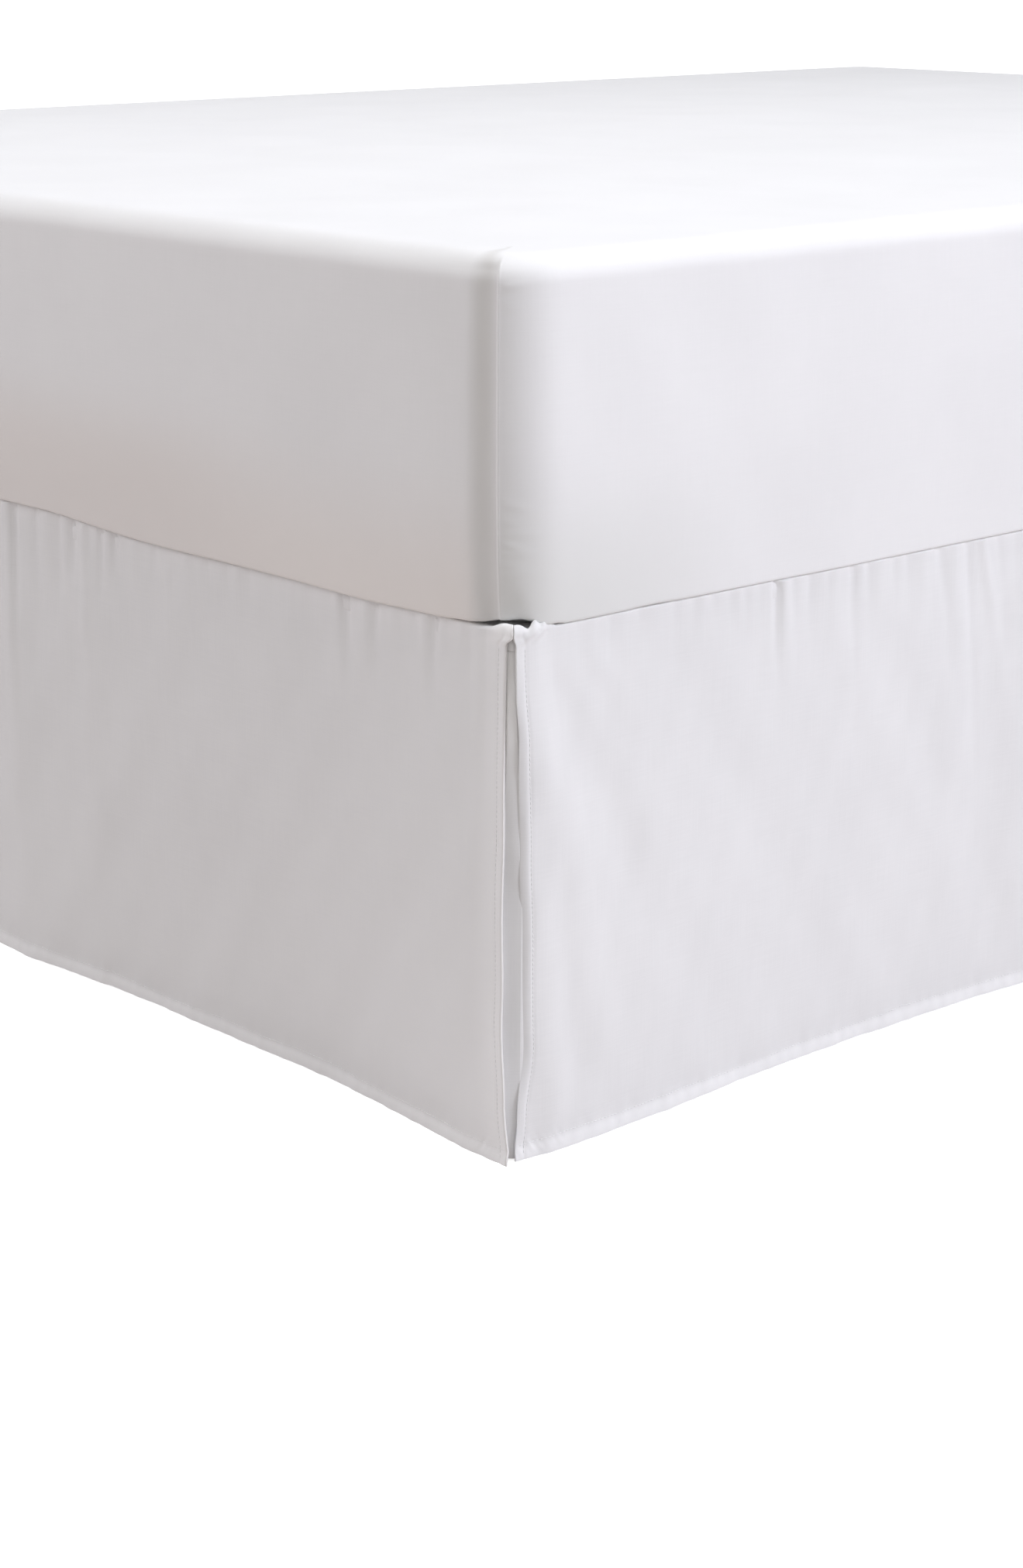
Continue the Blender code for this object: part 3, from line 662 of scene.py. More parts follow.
def make_underlap(name, foot_fold, side_fold, side, seed):
    item = add_primitive(bpy.ops.mesh.primitive_grid_add, name, size=1.0,
                         x_subdivisions=UNDERLAP_COLUMNS, y_subdivisions=UNDERLAP_ROWS)
    mesh = item.data
    flat = read_points(mesh)
    top = TOP_Z - (deck_high.z - RIM_DROP - GAP)
    down = top + (TOP_Z - UNDERLAP_HEM - top) * (0.5 - flat[:, 1])
    points, places = underlap_points(flat[:, 0] + 0.5, down, foot_fold, side_fold, seed)
    points[:, 0] *= side
    mesh.vertices.foreach_set("co", points.ravel())
    set_uv(mesh, 0, places)
    if side < 0:
        mesh.flip_normals()
    mesh.update()
    give_thickness(item)
    return item


last_fold = FOOT_FOLDS[-1]
last_fold = last_fold._replace(place=WIDTH - last_fold.place)
underlaps = {
    "right": make_underlap("right_underlap_cloth", FOOT_FOLDS[0], RIGHT_FOLDS[0], 1, 51),
    "left": make_underlap("left_underlap_cloth", last_fold, LEFT_FOLDS[0], -1, 52)}

# %% [markdown]
# ## The deck
# The deck is a plain sheet that lies on the box spring under the mattress. Only its head
# edge can be seen, and its corners where the mattress is rounder than the skirt. Its rim is
# turned down on three sides. A plane is given its rim by extruding the border, and the
# rounded bend comes from a bevel.

# %% Lay the deck
DECK_BEND = 0.0022      # size of the rounded bend
NEAR = 1e-4             # closer than this counts as the same place


def pick(item, mode, wanted):
    """Select the points or edges whose ends are wanted, in edit mode."""
    bpy.ops.object.mode_set(mode="EDIT")
    bpy.ops.mesh.select_mode(type=mode)
    bpy.ops.mesh.select_all(action="DESELECT")
    bpy.ops.object.mode_set(mode="OBJECT")
    points = item.data.vertices
    if mode == "VERT":
        for point in points:
            point.select = wanted([point.co])
    else:
        for edge in item.data.edges:
            edge.select = wanted([points[i].co for i in edge.vertices])
    bpy.ops.object.mode_set(mode="EDIT")


def on_rim(ends):
    return not all(end.y > deck_high.y - NEAR for end in ends)


def on_bend(ends):
    return on_rim(ends) and all(abs(end.z - deck_high.z) < NEAR for end in ends)


def make_deck():
    item = add_primitive(bpy.ops.mesh.primitive_plane_add, "deck_cloth", size=1.0,
                         location=(0, (deck_high.y + deck_low.y) / 2, deck_high.z))
    item.scale = (2 * deck_high.x, deck_high.y - deck_low.y, 1.0)
    bpy.ops.object.transform_apply(location=True, rotation=True, scale=True)
    pick(item, "VERT", lambda ends: ends[0].y < 0)
    bpy.ops.mesh.bevel(offset=DECK_CORNER, segments=8, affect="VERTICES")
    pick(item, "EDGE", on_rim)
    bpy.ops.mesh.extrude_region_move(TRANSFORM_OT_translate={"value": (0, 0, -RIM_DROP)})
    pick(item, "EDGE", on_bend)
    bpy.ops.mesh.bevel(offset=DECK_BEND, segments=3, affect="EDGES")
    bpy.ops.mesh.select_all(action="SELECT")
    bpy.ops.mesh.normals_make_consistent(inside=False)
    bpy.ops.object.mode_set(mode="OBJECT")
    if max(item.data.polygons, key=lambda face: face.area).normal.z < 0:
        item.data.flip_normals()
    give_thickness(item)
    return item


deck = make_deck()

# %% [markdown]
# ## The mattress in its fitted sheet
# A mattress is a firm block with round edges, and its fitted sheet is taut, so it keeps
# that shape. What shows is small: the sewn seam down each corner, a soft trough beside it
# where the sheet is pulled round, short cross wrinkles at the seam, and a crowned top. A
# cube is subdivided, its points are drawn close together near the edges, and then rounded.

# %% Shape of a padded block
# levels: where its rows of points lie, as shares of its height. gather: the angle round a
# corner, in degrees, that the points are drawn to.
Block = namedtuple("Block", "half_width half_length low high corner top_edge low_edge "
                            "levels gather cuts")
CLOSENESS = 0.86        # how much closer the points are at the corners than in the middle
GATHER_PULL = 0.66      # how strongly the points are drawn to that angle
GATHER_REACH = 14.0     # degrees
TINY = 1e-9


def drawn_to_ends(share):
    """Shares from -1 to 1, drawn close together near -1 and 1."""
    return share + CLOSENESS * np.sin(np.pi * share) / np.pi


def rounded(inset, depth, radius):
    """Move a point that is inset along one face and deep along the other onto the round."""
    a, b = np.minimum(inset - radius, 0.0), np.minimum(depth - radius, 0.0)
    length = np.maximum(np.hypot(a, b), TINY)
    inside = (a < 0) & (b < 0)
    return (np.where(inside, radius + radius * a / length, inset),
            np.where(inside, radius + radius * b / length, depth))


def corner_angle(way):
    """How far round a corner a way out points, in degrees from the foot or head."""
    return np.degrees(np.arctan2(np.abs(way[:, 0]), np.abs(way[:, 1])))


def block_points(block, cube):
    """Places on the rounded block for points on a cube from -1 to 1, their ways out and insets."""
    x = drawn_to_ends(cube[:, 0]) * block.half_width
    y = drawn_to_ends(cube[:, 1]) * block.half_length
    rank = (cube[:, 2] + 1.0) / 2 * (len(block.levels) - 1)
    middle, tall = (block.low + block.high) / 2, block.high - block.low
    z = block.low + tall * np.interp(rank, range(len(block.levels)), block.levels)
    inset = np.minimum(block.half_width - np.abs(x), block.half_length - np.abs(y))
    upper_inset, upper_depth = rounded(inset, block.high - z, block.top_edge)
    lower_inset, lower_depth = rounded(inset, z - block.low, block.low_edge)
    upper = z > middle
    new_inset = np.where(upper, upper_inset, lower_inset)
    z = np.where(upper, block.high - upper_depth, block.low + lower_depth)
    inner_x = np.clip(x, block.corner - block.half_width, block.half_width - block.corner)
    inner_y = np.clip(y, block.corner - block.half_length, block.half_length - block.corner)
    way = np.stack((x - inner_x, y - inner_y), axis=-1)
    near = (np.hypot(way[:, 0], way[:, 1]) > TINY) & (inset < block.corner)
    angle = corner_angle(way)
    if block.gather:
        past = angle - block.gather
        pulled = angle - GATHER_PULL * past * np.exp(-(past / GATHER_REACH) ** 2)
        angle = np.where((angle > 0) & (angle < 90), pulled, angle)
    way = np.stack((np.copysign(np.sin(np.radians(angle)), way[:, 0]),
                    np.copysign(np.cos(np.radians(angle)), way[:, 1])), axis=-1)
    way = np.where(near[:, None], way, 0.0)
    x = np.where(near, inner_x + way[:, 0] * (block.corner - new_inset), x)
    y = np.where(near, inner_y + way[:, 1] * (block.corner - new_inset), y)
    return np.stack((x, y, z), axis=-1), way, new_inset


def add_block(name, block):
    """A cube, subdivided, with the places that its points move to."""
    item = add_primitive(bpy.ops.mesh.primitive_cube_add, name, size=2.0)
    bpy.ops.object.mode_set(mode="EDIT")
    bpy.ops.mesh.select_all(action="SELECT")
    bpy.ops.mesh.subdivide(number_cuts=block.cuts)
    bpy.ops.object.mode_set(mode="OBJECT")
    cube = read_points(item.data)
    return item, cube, *block_points(block, cube)


def shape_block(item, cube, points):
    """Move the points, and lay each face of the cube flat on a UV map in metres."""
    mesh = item.data
    mesh.vertices.foreach_set("co", points.ravel())
    corners = face_corners(mesh)
    starts, totals = np.zeros((2, len(mesh.polygons)), dtype=int)
    mesh.polygons.foreach_get("loop_start", starts)
    mesh.polygons.foreach_get("loop_total", totals)
    centres = np.add.reduceat(cube[corners], starts, axis=0) / totals[:, None]
    axis = np.repeat(np.argmax(np.abs(centres), axis=1), totals)
    place = points[corners]
    u = np.where(axis == 0, place[:, 1], place[:, 0])
    v = np.where(axis == 2, place[:, 1], place[:, 2])
    mesh.uv_layers[0].data.foreach_set("uv", np.stack((u, v), -1).ravel())
    mesh.update()
    mesh.shade_smooth()
    print_triangles(item)


# %% Seam, trough and wrinkles of the fitted sheet
# A pair of numbers is a soft step: where it starts, and its length.
FOOT_OVERHANG = 0.0055  # the mattress's side past the foot panel's face
SIDE_OVERHANG = 0.0020
MATTRESS_BULGE = 0.0030 # how far the sides swell at half height
MATTRESS_CROWN = 0.0050 # how much higher the middle of the top is than its edge
CROWN_ROOM = 0.007      # what the crown and the soft waves of the top need
SEAM_ANGLE = 35.0       # the seam's place round a corner, in degrees from the foot or head
mattress_low, mattress_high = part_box("mattress")
block_high = mattress_high.z - CROWN_ROOM
LEVELS = spaced(block_high - mattress_low.z, in_metres(
    Knot, (0, 0.8), (7, 1), (12, 1.8), (100, 2), (150, 3.8), (210, 3), (247, 1.2)))
MATTRESS = Block(SKIRT_HALF_WIDTH + SIDE_OVERHANG, -FOOT_Y + FOOT_OVERHANG,
                 mattress_low.z, block_high, 0.047, 0.021, 0.0028,
                 tuple(LEVELS), SEAM_ANGLE, 100)

# The mattress's lower edge above the top of the skirt, by the distance round the corner from
# the seam, which grows towards the long side.
LOW_LINE = in_metres(
    Knot, (-620, 0), (-540, 0.3), (-394, 0.3), (-248, 0.3), (-132, -1.1), (-64, 0), (-29, 1.8),
    (-16, 2.6), (4, 4.8), (16, 6), (24, 4.8), (33, 1), (42, 1.4), (54, -0.2), (98, 0), (132, 0.8),
    (175, 0.2), (255, -0.3), (338, -0.5), (475, -0.3), (640, 0.6), (900, 0))

SEAM_FROM_CORNER = 0.0183   # the seam's distance along the foot panel from its corner
SEAM_WIDTH = 0.0028
SEAM_HEIGHT = 0.0006
SEAM_STEP = (0.028, 0.030)  # the seam begins at this height above the mattress's bottom
SEAM_GROOVE = 0.0006        # depth of the groove on the foot side of the seam
GROOVE_PLACE = -0.0024      # how far round from the seam it lies
GROOVE_REACH = 0.0028
GROOVE_LOW = 0.4            # share of its depth below the height where the seam begins
SIDE_SOFT = 0.0004          # soft waves of the sides
FLAT_WAY = -7.0         # the drawn-in flat beside the seam faces this far round from the seam
FLAT_DEPTH = 0.0029
FLAT_SOFT = 0.0007
FLAT_UNEVEN = 0.12      # how much its depth varies along the corner
FLAT_LIMIT = 1.2        # a flat isn't cut further round than this, in radians
FLAT_STEP = (-0.0012, 0.0016)
EARLY_TURN = 0.0016     # the foot side turns in a little before its corner
TURN_STEP = (-0.064, 0.036)
TURN_END_STEP = (-0.010, 0.010)

# Short wrinkles across a corner, on the long side of its seam. height: above the mattress's
# bottom. length: round the corner. thick: from top to bottom. depth: how far it stands out.
Wrinkle = namedtuple("Wrinkle", "height length thick depth")
SEAM_WRINKLES = in_metres(
    Wrinkle, (46, 22, 5, 0.4), (52, 34, 6, 0.3), (61, 26, 4.4, 0.5), (66, 40, 7, 0.3),
    (76, 20, 5, 0.4), (88, 30, 8, 0.3), (36, 30, 7, 0.4), (120, 24, 7, 0.2), (222, 20, 6, 0.4),
    (231, 26, 5.5, 0.5))
WRINKLE_SLANT = 0.30    # each slants its own way, up to this much
WRINKLE_TURNS = 900.0
WRINKLE_BEND = 0.001    # how far a wrinkle bends up and down, and over what length
WRINKLE_LENGTH = 0.006
WRINKLE_STEP = (0.001, 0.006)
WRINKLE_FADE = 0.02
# Under each corner the sheet is drawn in flat, and this flat faces down a little.
DRAWN_HEIGHT = 0.036
DRAWN_WAY = 5.0         # degrees past the seam
DRAWN_DOWN = math.radians(5.0)
DRAWN_SOFT = 0.0012


def seam_run(points, way, block):
    """Distance round the nearest corner from its seam, growing towards the long side."""
    angle = corner_angle(way)
    run = np.radians(angle - SEAM_ANGLE) * block.corner
    foot_side = np.abs(points[:, 0]) - (block.half_width - block.corner)
    long_side = np.abs(points[:, 1]) - (block.half_length - block.corner)
    run = run + np.where(angle < 0.01, np.minimum(foot_side, 0.0), 0.0)
    return run - np.where(angle > 89.99, np.minimum(long_side, 0.0), 0.0)


def lower_of(first, second, soft):
    """The lower of two heights, with a soft change from one to the other."""
    return (first + second - np.sqrt((first - second) ** 2 + soft ** 2)) / 2


def flat_cut(turn, facing, reach, radius):
    """Offset that cuts a flat, at a reach and facing one way, into a round of this radius."""
    past = np.clip(np.radians(turn - facing), -FLAT_LIMIT, FLAT_LIMIT)
    return reach / np.cos(past) - radius


def sheet_offset(points, way, block):
    """How far the fitted sheet's details move each point of the mattress's sides."""
    run = seam_run(points, way, block)
    turn = np.degrees(run / block.corner)
    height = points[:, 2] - block.low
    ending = step_up(height, *SEAM_STEP)
    uneven = 1.0 + FLAT_UNEVEN * waves(height, (0.16, 0.09), 71)
    beside = flat_cut(turn, FLAT_WAY, block.corner - FLAT_DEPTH * uneven, block.corner)
    moved = lower_of(0.0, beside, FLAT_SOFT) * (1.0 - step_up(run, *FLAT_STEP))
    groove = SEAM_GROOVE * bump_profile((run - GROOVE_PLACE) / GROOVE_REACH)
    moved -= groove * (GROOVE_LOW + (1 - GROOVE_LOW) * ending)
    moved += SEAM_HEIGHT * bump_profile(run / (SEAM_WIDTH / 2)) * ending
    moved -= EARLY_TURN * step_up(run, *TURN_STEP) * (1.0 - step_up(run, *TURN_END_STEP))
    for wrinkle in SEAM_WRINKLES:
        slant = WRINKLE_SLANT * math.sin(WRINKLE_TURNS * wrinkle.height)
        bend = WRINKLE_BEND * np.sin(run / WRINKLE_LENGTH)
        level = height - wrinkle.height - slant * run - bend
        across = bump_profile(level / (wrinkle.thick / 2))
        length = step_up(run, *WRINKLE_STEP) * smoothstep((wrinkle.length - run) / WRINKLE_FADE)
        moved += wrinkle.depth * across * length
    below = (DRAWN_HEIGHT - height) * math.sin(DRAWN_DOWN)
    reach = (block.corner * math.cos(DRAWN_DOWN) - below) / math.cos(DRAWN_DOWN)
    drawn = flat_cut(turn, DRAWN_WAY, reach, block.corner)
    moved += lower_of(0.0, drawn, DRAWN_SOFT) + DRAWN_SOFT / 2
    moved += SIDE_SOFT * waves(run + 0.4 * height, (0.171, 0.113), 73)
    return moved


# %% Shape the mattress
CLEAR_STEP = (-0.0015, 0.0018)  # steps of the underside, by how far in from the side it is
UNDER_STEP = (0.010, 0.016)
FOOT_END_STEP = (0.5, 0.3)      # the skirt's top edge rises at the foot end alone
LIFT_HEIGHT = 0.036             # the lowest part of the sides follows the lower edge
TOP_FADE = 0.012                # the seam and wrinkles fade this near the top
TOP_SOFT = 0.0010               # soft waves of the top


def side_bulge(height, block):
    """How far the sides swell: most of all at half height."""
    share = np.clip(height / (block.high - block.low - block.top_edge), 0.0, 1.0)
    return MATTRESS_BULGE * np.sin(np.pi * share)


def underside_level(points, way, inset, block):
    """How high the lower rim lies: it follows its line, clear of the skirt's turned top."""
    run = seam_run(points, way, block)
    top = TOP_Z + top_rise(SEAM_FROM_CORNER - run) * step_up(-points[:, 1], *FOOT_END_STEP)
    edge = top + eased(LOW_LINE, run)
    clear = np.maximum(edge, top + GAP)
    inward = inset - (SIDE_OVERHANG * way[:, 0] ** 2 + FOOT_OVERHANG * way[:, 1] ** 2)
    level = edge + (clear - edge) * step_up(inward, *CLEAR_STEP)
    return level + (block.low - level) * step_up(inward, *UNDER_STEP)


def make_mattress():
    item, cube, points, way, inset = add_block("mattress_in_sheet", MATTRESS)
    height = points[:, 2] - MATTRESS.low
    fade = smoothstep((MATTRESS.high - points[:, 2]) / TOP_FADE)
    on_side = np.any(way != 0.0, axis=1)
    outward = side_bulge(height, MATTRESS) + fade * sheet_offset(points, way, MATTRESS)
    level = underside_level(points, way, inset, MATTRESS)
    points[:, :2] += way * np.where(on_side, outward, 0.0)[:, None]
    crown = MATTRESS_CROWN * step_up(inset, MATTRESS.top_edge, 0.5)
    soft = TOP_SOFT * waves(points[:, 0] + 0.3 * points[:, 1], (0.53, 0.31, 0.21), 81)
    soft += TOP_SOFT * waves(points[:, 1] - 0.2 * points[:, 0], (0.61, 0.37, 0.23), 82)
    soft *= step_up(inset, MATTRESS.top_edge, 0.15)
    lift = np.where(on_side, level - MATTRESS.low, 0.0) * (1.0 - smoothstep(height / LIFT_HEIGHT))
    points[:, 2] += np.where(cube[:, 2] > 0, crown + soft, lift)
    shape_block(item, cube, points)
    run = np.where(on_side, seam_run(points, way, MATTRESS), -1.0)
    add_uv(item.data, "seam", np.stack((run, height), -1))
    return item


mattress = make_mattress()

# %% [markdown]
# ## The box spring
# A wooden frame under a plain ticking cover. It is as long and as wide as the mattress, less
# the skirt's cloth, and its edges are nearly square. It is made as the mattress is.

# %% Make the box spring
spring_low, spring_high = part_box("box_spring")
SPRING = Block(spring_high.x, spring_high.y, spring_low.z, spring_high.z, 0.020, 0.004, 0.004,
               (0.0, 1.0), None, 46)
SPRING_HOLLOW = 0.0022  # how far its sides pull in at half height
SPRING_INSET = 0.0009
TAPE_HEIGHT = 0.0008    # the tape along its edges, and how far from them it lies
TAPE_PLACE = 0.012


def make_box_spring():
    item, cube, points, way, _ = add_block("box_spring_cover", SPRING)
    height = points[:, 2] - SPRING.low
    middle = 1.0 - (height / (SPRING.high - SPRING.low) * 2 - 1) ** 2
    tape = bump_profile((points[:, 2] - SPRING.high + TAPE_PLACE) / TAPE_PLACE)
    tape = tape + bump_profile((height - TAPE_PLACE) / TAPE_PLACE)
    inward = SPRING_HOLLOW * middle - TAPE_HEIGHT * tape + SPRING_INSET
    points[:, :2] -= way * inward[:, None]
    shape_block(item, cube, points)
    return item


box_spring = make_box_spring()

# %% [markdown]
# ## Stitches
# The lockstitches of the hems are real threads. One stitch is a small ball, drawn out along
# the seam. It is copied every few millimetres onto the cloth's surface.

# %% Sew the hems
STITCH_PITCH = 0.0034
STITCH_LENGTH = 0.0026
STITCH_THICK = 0.0006
STITCH_OUT = 0.00005    # how far a stitch's middle stands out of the cloth
SEAM_ENDS = 0.004       # a row of stitches ends this far from the cloth's edge
SIDE_START = 0.012      # the side hems' first stitch, below the top
SIDE_SEAM = DROP - 0.02 # length of cloth that sets how many stitches a side hem has


def stitch_template():
    item = add_primitive(bpy.ops.mesh.primitive_uv_sphere_add, "stitch", segments=6,
                         ring_count=4, radius=0.5)
    points = read_points(item.data) * (STITCH_THICK, STITCH_THICK, STITCH_LENGTH)
    # Blender doesn't always list a ball's faces in the same order, so they are sorted.
    faces = sorted(tuple(polygon.vertices) for polygon in item.data.polygons)
    bpy.data.objects.remove(item, do_unlink=True)
    return points, faces


def surface_point(panel, along, down):
    """The cloth's outer surface at one place, without its turned top."""
    a, d = np.array([along]), np.array([down])
    out = fold_offset(panel.folds, a, d) + panel_offsets(panel, a, d)
    point = panel.corner + panel.along * along + panel.outward * float(out[0])
    point.z = TOP_Z - down - float(hem_sag(panel, along, down))
    return point


def edge_at(curve, down):
    return float(eased(curve, np.array([down]))[0])


def evenly(start, end, length):
    """Values from start to end, one for each stitch that a length of cloth holds."""
    count = int(length / STITCH_PITCH)
    return [start + (end - start) * step / count for step in range(count + 1)]


def hem_places(panel):
    """Places along the bottom hem, as distances along and down."""
    start = edge_at(panel.first, DROP) + SEAM_ENDS
    end = panel.length - edge_at(panel.last, DROP) - SEAM_ENDS
    return [(along, DROP - float(hem_band(np.array([along]), panel.seed)[0]))
            for along in evenly(start, end, panel.length)]


def side_places(panel, at_start):
    """Places along a side hem, as distances along and down."""
    places = []
    for down in evenly(SIDE_START, DROP - SEAM_ENDS, SIDE_SEAM):
        inset = edge_at(panel.first if at_start else panel.last, down) + SIDE_HEM
        places.append((inset if at_start else panel.length - inset, down))
    return places


def sew_panel(panel, template, faces):
    """A stitch between each place of a seam and the next."""
    name = panel.name.replace("_cloth", "_stitches")
    points, all_faces = [], []
    for places in (hem_places(panel), side_places(panel, True), side_places(panel, False)):
        spots = [surface_point(panel, along, down) for along, down in places]
        for first, second in zip(spots, spots[1:]):
            turn = (second - first).normalized().to_track_quat("Z", "Y").to_matrix()
            middle = (first + second) / 2 + panel.outward * STITCH_OUT
            all_faces += [tuple(len(points) + i for i in face) for face in faces]
            points += [middle + turn @ Vector(point) for point in template]
    mesh = bpy.data.meshes.new(name)
    mesh.from_pydata(points, [], all_faces)
    mesh.shade_smooth()
    item = bpy.data.objects.new(name, mesh)
    bpy.context.scene.collection.objects.link(item)
    print_triangles(item)
    return item


template = stitch_template()
panel_stitches = [sew_panel(panel, *template) for panel in PANELS]

# %% [markdown]
# ## Cloth finishes
# Plain-woven cotton is matt, with a faint sheen at grazing angles, and its threads are a
# third of a millimetre apart. Some threads are thicker than others, which gives the fine
# streaks called slubs. Both are worked out from the UV map in metres, so they follow the
# cloth. The weave is a node group, because every cloth here uses it with its own values.
# Small helpers add a node, feed its inputs, do sums, and start a group or a material, so that
# each finish is short.

# %% Helpers for shader nodes
NODES_IN_ROW = 8
NODE_SPACE = 260


def feed(tree, node, inputs):
    """Give each named input its value, or link another node's output to it."""
    for name, value in inputs.items():
        if isinstance(value, bpy.types.NodeSocket):
            tree.links.new(value, node.inputs[name])
        else:
            node.inputs[name].default_value = value


def add_node(tree, kind, inputs=None, **settings):
    """Add a shader node. The nodes are laid out in rows, in the order they are made."""
    node = tree.nodes.new("ShaderNode" + kind)
    row, column = divmod(len(tree.nodes), NODES_IN_ROW)
    node.location = (NODE_SPACE * (column - NODES_IN_ROW), -NODE_SPACE * row)
    for name, value in settings.items():
        setattr(node, name, value)
    feed(tree, node, inputs or {})
    return node


def calculate(tree, operation, *values):
    """The output of a Math node."""
    return add_node(tree, "Math", dict(enumerate(values)), operation=operation).outputs[0]


def start_group(name, values, outputs):
    """A node group that reads a place, with the ends of its named inputs and outputs."""
    tree = bpy.data.node_groups.new(name, "ShaderNodeTree")
    sockets = tree.interface
    sockets.new_socket(name="Place", in_out="INPUT", socket_type="NodeSocketVector")
    for title, value in values.items():
        socket = sockets.new_socket(name=title, in_out="INPUT", socket_type="NodeSocketFloat")
        socket.default_value = value
    for title in outputs:
        sockets.new_socket(name=title, in_out="OUTPUT", socket_type="NodeSocketFloat")
    return tree, tree.nodes.new("NodeGroupInput").outputs, tree.nodes.new("NodeGroupOutput")


def start_material(name):
    material = bpy.data.materials.new(name)
    material.use_nodes = True
    return material, material.node_tree, material.node_tree.nodes["Principled BSDF"]


# %% Weave group
SLUB_ALONG, SLUB_ACROSS = 22.0, 900.0   # a slub is long and thin: streaks in a metre


def weave_group():
    """Height and tint of a plain weave, from a place on the cloth in metres."""
    values = {"Thread pitch": 0.0004, "Slub": 0.5}
    tree, entry, leave = start_group("plain_weave", values, ("Height", "Tint"))
    axes = add_node(tree, "SeparateXYZ", {0: entry["Place"]})
    turns = calculate(tree, "DIVIDE", math.pi, entry["Thread pitch"])
    threads, streaks = [], []
    for axis in "XY":
        scaled = calculate(tree, "MULTIPLY", axes.outputs[axis], turns)
        threads.append(calculate(tree, "SINE", scaled))
    weave = calculate(tree, "MULTIPLY", *threads)
    for size in ((SLUB_ACROSS, SLUB_ALONG, 1.0), (SLUB_ALONG, SLUB_ACROSS, 1.0)):
        stretch = add_node(tree, "VectorMath", {0: entry["Place"], 1: size}, operation="MULTIPLY")
        grain = add_node(tree, "TexNoise", {"Vector": stretch.outputs[0], "Scale": 1.0,
                                            "Detail": 2.0})
        streaks.append(grain.outputs["Fac"])
    centred = calculate(tree, "SUBTRACT", calculate(tree, "ADD", *streaks), 1.0)
    slubs = calculate(tree, "MULTIPLY", centred, entry["Slub"])
    fine = calculate(tree, "MULTIPLY", weave, 0.5)
    feed(tree, leave, {"Height": calculate(tree, "ADD", fine, slubs),
                       "Tint": calculate(tree, "ADD", slubs, 0.5)})
    return tree


WEAVE = weave_group()
print("weave group nodes:", len(WEAVE.nodes))

# %% Masks for tints
# A ramp runs along one axis of a UV map: 0 at its first value, and its most at its last.
Ramp = namedtuple("Ramp", "axis first last most", defaults=(1.0,))


def masked(tree, layer, *ramps):
    """A mask made of ramps along a UV map's axes, multiplied."""
    places = add_node(tree, "UVMap", uv_map=layer)
    axes = add_node(tree, "SeparateXYZ", {0: places.outputs["UV"]})
    mask = None
    for part in ramps:
        share = add_node(tree, "MapRange", {
            "Value": axes.outputs[part.axis], "From Min": part.first,
            "From Max": part.last, "To Max": part.most}, interpolation_type="SMOOTHSTEP")
        share = share.outputs["Result"]
        mask = calculate(tree, "MULTIPLY", mask, share) if mask else share
    return mask


# On a panel's "edges" map, X is the distance from the nearer side edge, apart from a curled
# first one, and Y is the height above the hem's fold.
def doubled_hem_and_painted_light_share(tree):
    """Where the cloth is turned under and two or three layers thick, and paler towards it.

    The broader paler bands beside the side edges, at their tops and towards the bottom are
    painted light.
    """
    side = masked(tree, "edges", Ramp("X", 0.036, 0.003))
    hem = masked(tree, "edges", Ramp("Y", HEM_BAND + 0.0025, HEM_BAND - 0.0045))
    # These three broader parts are painted light: beside each side edge, at its top, and towards
    # the bottom.
    parts = (masked(tree, "edges", Ramp("X", 0.34, 0.0, 0.55)),
             masked(tree, "edges", Ramp("Y", DROP - 0.014, DROP - 0.004),
                    Ramp("X", 0.028, 0.014)),
             masked(tree, "edges", Ramp("Y", 0.20, 0.0, 0.55), Ramp("X", 0.95, 0.78)))
    total = calculate(tree, "MAXIMUM", side, hem)
    for part in parts:
        total = calculate(tree, "ADD", total, part)
    return total


def side_fold_share(tree):
    """The fold of a side edge, tinted a little darker and warmer."""
    return masked(tree, "edges", Ramp("X", 0.0022, 0.0004))


def underlap_top_painted_light_share(tree):
    """Painted light at the top of an underlap, against the shade of the slot it hangs in."""
    return masked(tree, "UVMap", Ramp("Y", -0.150, -0.030))


# On the mattress's "seam" map, X is the distance round the corner from the seam, negative
# on the foot side, and Y is the height above its bottom.
def foot_low_painted_warm_shade_share(tree):
    """Painted shade at the bottom of the mattress's foot side, warm with light bounced from the
    floor.
    """
    return masked(tree, "seam", Ramp("Y", 0.125, 0.005), Ramp("X", 0.020, -0.040))


def foot_far_painted_warm_shade_share(tree):
    """Painted shade at the bottom of the foot side, away from its corners, warm with light bounced
    from the floor.
    """
    return masked(tree, "seam", Ramp("Y", 0.140, 0.030), Ramp("X", -0.160, -0.420),
                  Ramp("X", -0.999, -0.900))


def seam_trough_painted_shade_share(tree):
    """Painted shade in the trough on the foot side of each corner's seam."""
    return masked(tree, "seam", Ramp("X", -0.0260, -0.0115), Ramp("X", 0.0010, -0.0105))


def corner_low_painted_shade_share(tree):
    """Painted shade at the bottom of the long side beside each corner."""
    return masked(tree, "seam", Ramp("Y", 0.130, 0.010), Ramp("X", -0.012, 0.006),
                  Ramp("X", 0.260, 0.040))


# %% Cloth materials
CLOUD_SCALE = 9.0       # soft clouds of tone in a metre
TONE_PLACES = (0.30, 0.70)
WEAVE_BUMP = 0.5


